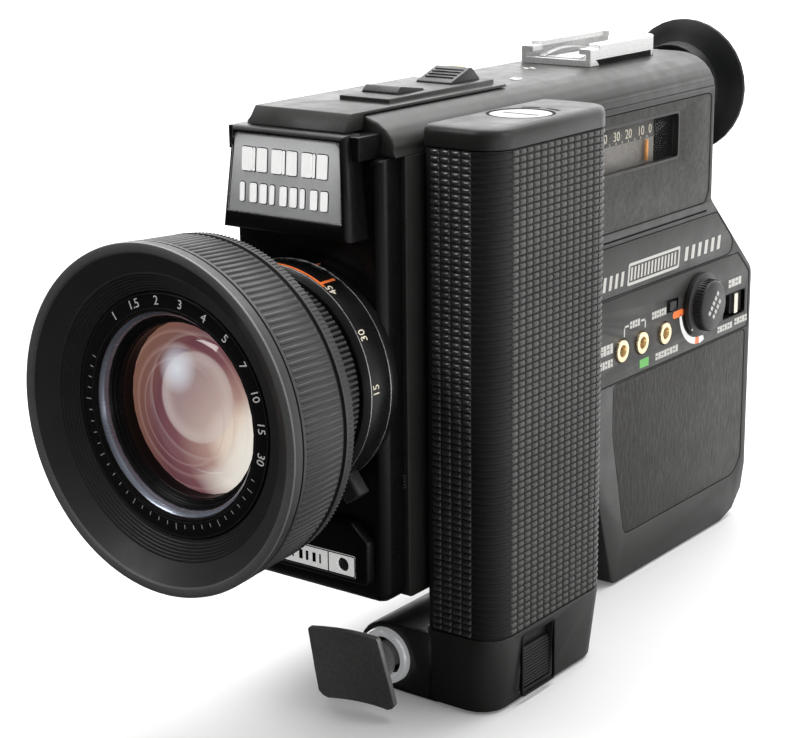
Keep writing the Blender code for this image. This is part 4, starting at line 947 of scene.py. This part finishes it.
def roof():
    """The wide button's mark and ribs, the cross on the roof and the roof's screws."""
    low, high = box("wide_button")
    near, far = high.y - 2.9, high.y - 1.7
    mark = Shape().block((low.x + 3.2, near, high.z - 0.4), (high.x - 3.2, far, high.z + 0.03))
    mark.piece("wide_mark", "yellow_mark", "wide")
    ribs = Shape()
    for index in range(4):
        y = low.y + 2.2 + 1.5 * index
        z = low.z + 1.35 + (high.z - low.z - 1.2) * (y - low.y) / (high.y - 3.4 - low.y)
        ribs.block((low.x + 1.0, y, z - 0.5), (high.x - 1.0, y + 0.5, z + 0.22))
    ribs.piece("wide_ribs", "button", "wide")
    top = box("top_cover")[1].z
    cross = Shape().block((-2.6, -40.5, top - 0.1), (-1.4, -36.5, top + 0.06))
    cross.block((-4.0, -39.0, top - 0.1), (0.0, -38.0, top + 0.06)).piece("roof_mark", "grey_mark")
    screws("roof_screw", [(x, -60.0, top) for x in (-8.0, 8.0)], "Z", 1.6, 20, 60)


# ---------------------------------------------------------------- right side

SIDE = 23.2
PRINT = (SIDE - 0.1, SIDE + 0.05)   # X of a printed mark's back and face
BRACKETS = ((-28.9, -28.3, 71.6, 74.6), (-28.9, -26.2, 74.0, 74.6), (-17.5, -16.9, 71.9, 74.6),
            (-19.6, -16.9, 74.0, 74.6))
WORDS = (   # Y low, Y high, Z low, Z high, number of bars
    (-25.6, -20.2, 73.2, 75.2, 4), (-13.4, -5.4, 73.3, 75.4, 6), (-10.9, 2.0, 60.9, 62.9, 8),
    (-41.4, -34.6, 68.4, 71.2, 4), (-41.4, -34.6, 64.6, 66.8, 5), (32.4, 40.4, 73.5, 75.9, 4),
    (26.2, 35.4, 60.9, 62.8, 6), (37.0, 45.0, 61.2, 63.2, 5))


def side_marks(name, look, marks, slant=0.0, face=SIDE, proud=0.05):
    """Printed bars on a side face; each is (Y low, Y high, Z low, Z high)."""
    shape = Shape()
    for y0, y1, z0, z1 in marks:
        shape.prism(rectangle(y0, y1, z0, z1, slant * (z1 - z0)), "X", face - 0.1, face + proud)
    shape.piece(name, look)


def word(y0, y1, z0, z1, count, gap=0.28):
    """A row of short bars standing for small print; every other one is split in two levels."""
    step = (y1 - y0 + gap) / count
    level = (z0 + z1) / 2
    bars = []
    for i in range(count):
        a, b = y0 + step * i, y0 + step * (i + 1) - gap
        bars += [(a, b, z0, z1)] if i % 2 else [(a, b, z0, level - 0.15), (a, b, level + 0.15, z1)]
    return bars


def control_prints():
    """The panel's printed bars, the dial's scale beside it, and the rims of the panel's openings."""
    words = [bar for place in WORDS for bar in word(*place)]
    side_marks("control_labels", "small_print", list(BRACKETS) + words)
    side_marks("record_level_mark", "green_mark", [(-19.8, -14.8, 60.5, 63.0), (25.4, 27.0, 74.4, 76.8)])
    centre = middle("record_dial").yz
    arc = Shape().arc_bar(centre, 10.9, 1.7, 186, 262, *PRINT, taper=lambda share: 0.75 + 0.45 * share)
    arc.arc_bar(centre, 11.2, 2.0, 274, 288, *PRINT).piece("dial_scale", "white_mark")
    ends = Shape().arc_bar(centre, 11.0, 2.0, 262.5, 273.5, *PRINT)
    ends.prism(rounded((-1.4, 70.9), (4.9, 73.0), 0.9, 3), "X", *PRINT).piece("dial_end_marks", "orange_mark")
    rims = Shape()
    for y0, y1, z0, z1 in ((29.6, 43.0, 64.5, 71.4), (-4.6, 1.4, 73.6, 76.8)):
        outer = rounded((y0 - 0.25, z0 - 0.25), (y1 + 0.25, z1 + 0.25), 0.4, 2)
        rims.square_rim("X", outer, rounded((y0, z0), (y1, z1), 0.25, 2), SIDE - 1.5, SIDE + 0.02)
    rims.piece("slot_rims", "deep_black")


def dial_and_switch():
    """What moves on the panel: the dial's pointer, cap marks and knurl, and the bar on the sound switch."""
    centre, face = middle("record_dial").yz, box("record_dial")[1].x
    pointer = turned_outline(centre, 223, rectangle(7.8, 9.25, -0.45, 0.45))
    Shape().prism(pointer, "X", 24.6, face - 3.66).piece("dial_index", "cream_mark", "dial")
    marks = Shape()
    for row, (count, low) in enumerate(((5, 0.7), (4, -2.0))):
        for i in range(count):
            start = -4.0 + 1.7 * i + 0.6 * row
            outline = turned_outline(centre, 48, rectangle(start, start + 1.15, low, low + 1.3))
            marks.prism(outline, "X", face - 0.2, face + 0.04)
    marks.piece("dial_marks", "grey_mark", "dial")
    tooth = ((7.0, -0.26), (7.62, -0.16), (7.62, 0.16), (7.0, 0.26))
    knurl("dial_knurl", "button", "dial", "X", centre, 48, tooth, 25.2, face - 1.1)
    face = box("sound_switch")[1].x
    plate("switch_bar", "cream_mark", "sound_switch", "X", (36.5, 65.0), (38.6, 70.9), 0.25, 2, face - 0.2,
          face + 0.06)


def trim_marks():
    """Slanted bars and the barred box on the trim strip, and the ridge and groove above the strip."""
    slanted = [(-40.6 + 3.1 * i, -39.2 + 3.1 * i, 86.2, 90.2) for i in range(4)]
    slanted += [(4.4 + 3.9 * i, 6.2 + 3.9 * i, 86.8, 90.8) for i in range(6)]
    side_marks("trim_bars", "small_print", slanted, slant=0.18)
    lean, foot = 0.12, 85.6
    frames = rounded((-27.6, foot), (1.2, 91.8), 0.6, 2), rounded((-26.8, 86.4), (0.4, 91.0), 0.3, 2)
    outer, inner = ([(u + lean * (v - foot), v) for u, v in outline] for outline in frames)
    panel = Shape().square_rim("X", outer, inner, *PRINT)
    bottom, height = 86.9, 3.6
    for index in range(14):
        y = -25.9 + 1.86 * index
        panel.prism(rectangle(y, y + 0.9, bottom, bottom + height, lean * 3.5), "X", *PRINT)
    panel.piece("trim_box", "small_print")
    low, high = box("trim_strip")
    ridge = Shape().block((22.7, low.y, high.z + 0.35), (23.42, high.y - 16.0, high.z + 0.8))
    ridge.piece("trim_ridge", "casing", bevel=0.12)
    groove = Shape().block((22.9, low.y, high.z + 1.3), (23.34, high.y - 17.0, high.z + 1.85))
    groove.piece("trim_groove", "deep_black")


def counter_details():
    """Strips, numbers and ticks on the film counter's scale, and the frame round its window."""
    face = box("counter_scale")[1].x
    side_marks("counter_light_strip", "scale_light", [(-58.5, -8.4, 116.6, 124.2)], face=face, proud=0.12)
    side_marks("counter_dark_end", "deep_black", [(-8.2, 3.0, 116.5, 131.4)], face=face, proud=0.3)
    numbers = (("50", -41.8), ("40", -35.1), ("30", -28.4), ("20", -22.1), ("10", -15.4), ("0", -10.4))
    for text, along in numbers:
        place = (face + 0.1, along, 126.4)
        numeral(f"counter_number_{text}", text, 3.6, place, Y, Z, "cream_mark", "camera_body")
    places = [-41.8 + 3.3 * i for i in range(10)]
    ticks = [(y - 0.12, y + 0.12, 124.3, 124.9) for y in places]
    side_marks("counter_ticks", "cream_mark", ticks, face=face, proud=0.12)
    outer = rounded((-58.9, 117.0), (-0.3, 130.9), 1.5)
    crest = rounded((-58.6, 117.3), (-0.6, 130.6), 1.3)
    inner = rounded((-58.0, 117.9), (-1.2, 130.0), 0.9)
    sections = (SIDE - 0.3, outer), (SIDE + 0.12, crest), (SIDE + 0.12, inner), (SIDE - 0.9, inner)
    Shape().rim("X", *sections).piece("counter_frame", "casing")


def front_slider():
    """The small ribbed slider beside the lens, low on the front cover."""
    slider = Shape().block((17.6, -128.9, 55.6), (22.6, -127.9, 59.4))
    for index in range(5):
        z = 56.0 + 0.72 * index
        slider.block((17.8, -129.5, z), (22.4, -128.8, z + 0.36))
    slider.piece("front_slider", "button")


# ---------------------------------------------------------------- left side, rear and underside

LEFT = -22.9   # X just under the left cover's skin


def film_door():
    """The door's leatherette, its window with the cartridge's lines behind it, and its arrow."""
    low, high = box("film_door")
    face = low.x
    plate("door_leatherette", "leatherette", "door", "X", (low.y + 4.0, low.z + 4.5), (high.y - 5.0, 58.0),
          1.6, 5, face - 0.35, face + 0.2, bevel=0.15)
    outer, inner = rounded((-16.0, 66.0), (22.0, 86.0), 2.0, 5), rounded((-14.6, 67.4), (20.6, 84.6), 1.2, 5)
    window = Shape().square_rim("X", outer, inner, face + 0.2, face - 0.5)
    window.piece("door_window_frame", "casing", "door", bevel=0.12)
    plate("door_window", "smoked_pane", "door", "X", (-14.7, 67.3), (20.7, 84.7), 1.2, 5, face - 0.15,
          face + 0.15)
    film = Shape()
    for index in range(3):
        rise = 4.6 * index
        outline = rounded((-13.0, 69.0 + rise), (4.0 + 5 * index, 71.4 + rise), 0.4, 2)
        film.prism(outline, "X", face - 0.2, face - 0.1)
    film.piece("door_window_film", "cartridge", "door")
    latch_low, latch_high = box("door_latch")
    front, rear, foot = latch_low.y, latch_high.y, latch_low.z
    arrow = [(front + 0.8, foot - 4.2), (rear - 0.8, foot - 4.2), ((front + rear) / 2, foot - 7.0)]
    Shape().prism(arrow, "X", face - 0.05, face + 0.1).piece("door_arrow", "white_mark", "door")
    ribs = Shape()
    for index in range(6):
        z = foot + 1.6 + 1.4 * index
        ribs.block((latch_low.x - 0.12, front + 0.6, z), (latch_low.x + 0.2, rear - 0.6, z + 0.6))
    ribs.piece("door_latch_ribs", "button", "door_latch")


def cartridge_label():
    """A sticker with printed lines on the film cartridge, seen with the door open."""
    face = box("film_cartridge")[0].x
    plate("cartridge_sticker", "yellow_mark", "camera_body", "X", (-22.0, 52.0), (34.0, 74.0), 1.5, 4,
          face - 0.08, face + 0.1)
    stripes, start = Shape(), -19.0
    for z, wide in ((70.0, 50.0), (66.5, 38.0), (63.0, 44.0), (56.0, 20.0)):
        stripes.prism(rounded((start, z - 1.0), (start + wide, z + 0.6), 0.3, 2), "X", face - 0.14, face)
    stripes.piece("cartridge_stripes", "cartridge")


def left_side():
    """The left cover's leatherette, trim and screws."""
    panels = (("left_upper_leatherette", "upper_leatherette_grain", (-112.0, 102.2), (17.6, 133.4), 1.2, 0.6),
              ("left_leatherette", "leatherette", (-118.0, 42.0), (-34.0, 92.0), 1.5, 0.65))
    for name, look, low, high, radius, proud in panels:
        plate(name, look, "camera_body", "X", low, high, radius, 4, LEFT - proud, LEFT, 0.12)
    plate("left_trim", "panel", "camera_body", "X", (-118.0, 94.4), (14.0, 99.6), 0.6, 3, LEFT - 0.55, LEFT,
          0.1)
    places = ((-114.8, 38.0), (-38.0, 38.0), (-121.0, 128.0), (12.0, 97.0))
    screws("left_screw", [(LEFT - 0.55, y, z) for y, z in places], "X", 1.5, 30, 40, outward=-1)


def rear_and_finder():
    """The eyepiece's knurl and rim, and the rear end's leatherette and screws."""
    tube_low, tube_high = box("eyepiece_tube")
    centre = (0.0, (tube_low.z + tube_high.z) / 2)
    reach = (tube_high.x - tube_low.x) / 2
    tooth = ((reach - 0.1, -0.36), (reach + 0.3, -0.2), (reach + 0.3, 0.2), (reach - 0.1, 0.36))
    near = tube_low.y + 1.2
    knurl("eyepiece_knurl", "casing", "camera_body", "Y", centre, 64, tooth, near, near + 4.0)
    rim = Shape().turned([(19.5, 44.9), (19.95, 44.6), (19.95, 44.1), (19.4, 43.8)], centre)
    rim.piece("eyecup_rim", "eyecup_rubber", "eyecup")
    rear = box("right_cover")[1].y
    plate("rear_leatherette", "leatherette", "camera_body", "Y", (-15.0, 40.0), (15.0, 68.0), 1.5, 4,
          rear - 0.1, rear + 0.35, bevel=0.12)
    screws("rear_screw", [(x, rear, 36.5) for x in (-17.5, 17.5)], "Y", 1.5, 15, 70)


def underside():
    """The tripod thread's turns and the base plate's screws."""
    low, high = box("tripod_bush")
    inner, turns = 3.2, 7
    bottom, top = low.z + 0.5, high.z - 0.5
    pitch = (top - bottom) / turns
    profile = []
    for index in range(turns):
        z = bottom + pitch * index
        profile += [(inner, z), (inner - 0.28, z + pitch / 2)]
    profile += [(inner, top), (inner + 0.3, top), (inner + 0.3, bottom)]
    Shape().turned(profile, middle("tripod_bush"), "Z", 48).piece("tripod_thread", "brass")
    places = [(x, y, 0.3) for y in (-21.0, 23.0) for x in (-11.0, 11.0)]
    screws("base_screw", places, "Z", 1.4, 0, 25, outward=-1)


# ---------------------------------------------------------------- finishes on the CAD nodes

DRESSING = (   # look, width of the rounded edges, nodes
    ("casing", 0.25, "left_cover right_cover top_cover zoom_button_deck eyepiece_tube film_door"),
    ("casing", 0.25, "hinge_bracket"),
    # The front finish is painted shade, darker than the casing.
    ("front", 0.15, "front_panel mic_housing"),
    ("front", 0.9, "nameplate_housing"),
    ("leatherette", 0.15, "lower_leatherette"),
    ("upper_leatherette_grain", 0.15, "upper_leatherette"),
    ("panel", 0.12, "trim_strip control_panel"),
    ("badge_plate", 0.1, "name_badge"),
    ("mic_label_painted_glow", 0.06, "mic_plate"),
    ("grip_plastic", 0.3, "grip_frame battery_cap"),
    ("turned_disc", 0.12, "coin_screw"),
    ("polished_collar_painted_reflection", 0.2, "trigger_collar"),
    ("trigger_painted_sheen", 0.25, "trigger"),
    ("button", 0.12, "tele_button wide_button record_dial sound_switch lock_button macro_lever"),
    ("button", 0.12, "grip_latch door_latch"),
    ("eyecup_rubber", 0.2, "eyecup"),
    ("anodised", 0.08, "lens_barrel zoom_ring focus_ring front_barrel"),
    ("glass_painted_reflections", 0.0, "front_lens"),
    ("clear_pane", 0.0, "rear_lens_group eyepiece_lens"),
    ("counter_pane", 0.0, "counter_window"),
    ("scale_grey", 0.0, "counter_scale"),
    ("amber_mark", 0.0, "counter_needle"),
    ("brass", 0.06, "remote_jack mic_jack monitor_jack tripod_bush motor_pinion"),
    ("steel", 0.08, "base_plate hinge_pin shutter pulldown_claw take_up_spindle capstan"),
    ("steel", 0.08, "film_gate drive_motor"),
    ("cartridge", 0.3, "film_cartridge"),
    ("cell_skin", 0.2, "battery_pair_front battery_pair_middle battery_pair_rear"),
)


def dress_nodes():
    """Gives the CAD nodes a finish, smooth shading and, where asked, small round edges."""
    for look, bevel, names in DRESSING:
        for name in names.split():
            node = NODES[name]
            node.data.materials.clear()
            node.data.materials.append(LOOKS[look])
            node.modifiers.new("weld", "WELD").merge_threshold = 0.002 * MM
            soften(node, bevel, 38, 32)


# ---------------------------------------------------------------- studio, in metres

WALLS = (   # direction, then Map Range's From Min, From Max, To Min and To Max
    ((-0.45, 0.85, 0.25), (0.3, 0.95, 0.0, 2.4)),
    ((1.0, 0.45, 0.2), (0.1, 1.0, 0.0, 0.45)),
    ((0.0, 0.15, 1.0), (0.1, 1.0, 0.0, 0.35)),
)
LIGHTS = (   # name, place, aim, size, watts
    ("overhead", (-0.1, 0.25, 1.3), (0.0, -0.05, 0.05), (1.5, 1.1), 30.0),
    ("side_fill", (1.5, 0.35, 0.6), (0.0, -0.05, 0.08), (0.9, 0.9), 6.0),
    ("front_top", (-0.75, -1.25, 1.25), (0.0, -0.1, 0.08), (0.8, 0.6), 9.0),
)
FLOOR_HALF = 12.0
AZIMUTH, DOWNWARD, ROLL = math.radians(36.87), math.radians(15.51), math.radians(-0.65)
VIEWPOINT = Vector((0.2869, -0.4830, 0.2080))
LENS, SENSOR = 88.335, 36.0   # millimetres


def studio_walls():
    """White walls behind and to the right, a soft one overhead, and an unlit room behind the camera."""
    world = bpy.data.worlds.new("studio")
    g = Graph(world, "Generated")
    total = 0.0
    for toward, stops in WALLS:
        ramp = g.node("ShaderNodeMapRange", interpolation_type="SMOOTHSTEP")
        g.feed(ramp.inputs["Value"], g.vectors("DOT_PRODUCT", g.place, tuple(Vector(toward).normalized())))
        for name, value in zip(("From Min", "From Max", "To Min", "To Max"), stops):
            g.feed(ramp.inputs[name], value)
        total = g.math("ADD", total, ramp.outputs["Result"])
    seen = g.node("ShaderNodeLightPath").outputs["Is Camera Ray"]
    back = g.tree.nodes["Background"]
    g.feed(back.inputs["Color"], (1.0, 1.0, 1.0))
    g.feed(back.inputs["Strength"], g.mix(seen, total, 1.0, kind="FLOAT"))
    bpy.context.scene.world = world


def keep_below_grip(floor):
    """Lets the floor sink with the grip's top end, which hangs under the camera when the grip is folded."""
    drop = floor.driver_add("location", 2).driver
    low, high = box("battery_cap")
    for name, across in (("inner", low.x), ("outer", high.x)):
        tip = add_object(f"grip_tip_{name}", None)
        tip.parent = frame["bodies"]["grip"]
        tip.location = Vector((across, low.y, high.z)) * MM
        follow = drop.variables.new()
        follow.name, follow.type = name, "TRANSFORMS"
        follow.targets[0].id = tip
        follow.targets[0].transform_type = "LOC_Z"
        follow.targets[0].transform_space = "WORLD_SPACE"
    drop.expression = "min(inner, outer, 0) - 0.0004"


def floor_look():
    """Pale paper that the camera sees fade to white with distance, by a painted glow; to other rays it is
    dark ahead of the camera and glows far off, painted shade and light for reflections; from below it is
    clear.
    """
    g = new_look("floor")
    seen = g.node("ShaderNodeLightPath").outputs["Is Camera Ray"]
    split = g.node("ShaderNodeSeparateXYZ")
    g.feed(split.inputs["Vector"], g.place)
    along, across = split.outputs["Y"], split.outputs["X"]
    depth = g.math("ADD", g.math("ADD", g.math("MULTIPLY", along, 0.8), g.math("MULTIPLY", across, 0.9)), 0.5)
    # Dark ahead of the camera and pale far off, for rays other than the camera's: painted shade for
    # reflections.
    painted_shade_for_reflections = g.ramp(depth, (0.32, 0.03), (0.62, 0.5))
    paper = g.ramp(g.noise(3, 2.0), (0.3, 0.62), (0.7, 0.64))
    near = g.ramp(depth, (0.05, 0.06), (0.45, 0.12), (1.0, 0.34))
    white = g.ramp(depth, (0.45, 0.0), (0.95, 0.9))
    far = g.ramp(g.math("DIVIDE", g.vectors("LENGTH", g.place), 3.0), (0.12, 0.0), (0.45, 0.8))
    # The camera sees the paper glow more with distance, and other rays see it glow far off: painted light.
    glow = g.mix(seen, white, g.math("ADD", near, far))
    solid = g.math("SUBTRACT", 1.0, g.node("ShaderNodeNewGeometry").outputs["Backfacing"])
    paper = g.mix(seen, painted_shade_for_reflections, paper)
    g.surface(colour=paper, rough=0.75, spec=0.1, glow=glow, glow_strength=1.0, alpha=solid)


def studio():
    floor_look()
    mesh = bpy.data.meshes.new("floor")
    corners = rectangle(-FLOOR_HALF, FLOOR_HALF, -FLOOR_HALF, FLOOR_HALF)
    mesh.from_pydata([(x, y, 0) for x, y in corners], [], [(0, 1, 2, 3)])
    mesh.materials.append(LOOKS["floor"])
    floor = add_object("floor", mesh)
    keep_below_grip(floor)
    studio_walls()
    for name, place, aim, size, power in LIGHTS:
        lamp = bpy.data.lights.new(name, "AREA")
        lamp.shape, lamp.size, lamp.size_y = "RECTANGLE", *size
        lamp.energy = power
        made = add_object(name, lamp)
        made.location = place
        made.rotation_euler = (Vector(aim) - Vector(place)).to_track_quat("-Z", "Y").to_euler()


def camera():
    """The photo's viewpoint."""
    level = math.cos(DOWNWARD)
    forward = Vector((-math.sin(AZIMUTH) * level, math.cos(AZIMUTH) * level, -math.sin(DOWNWARD)))
    right = Vector((math.cos(AZIMUTH), math.sin(AZIMUTH), 0))
    down = forward.cross(right)
    across = right * math.cos(ROLL) - down * math.sin(ROLL)
    below = right * math.sin(ROLL) + down * math.cos(ROLL)
    data = bpy.data.cameras.new("camera")
    data.lens, data.sensor_width, data.sensor_fit = LENS, SENSOR, "HORIZONTAL"
    made = add_object("camera", data)
    turn = Matrix((across, -below, -forward)).transposed().to_4x4()
    made.matrix_world = Matrix.Translation(VIEWPOINT) @ turn
    bpy.context.scene.camera = made
    bpy.context.scene.view_settings.view_transform = "Standard"


for step in (make_plastics, make_rubbers, make_metals, make_prints_and_glass, dress_nodes, grip_sleeve,
             battery_cap, grip_latch, lens_hood, front_optics, zoom_marks, focus_marks, badge_marks,
             badge_outline, microphone, accessory_shoe, roof, control_prints, dial_and_switch, trim_marks,
             counter_details, front_slider, film_door, cartridge_label, left_side, rear_and_finder, underside,
             studio, camera):
    step()
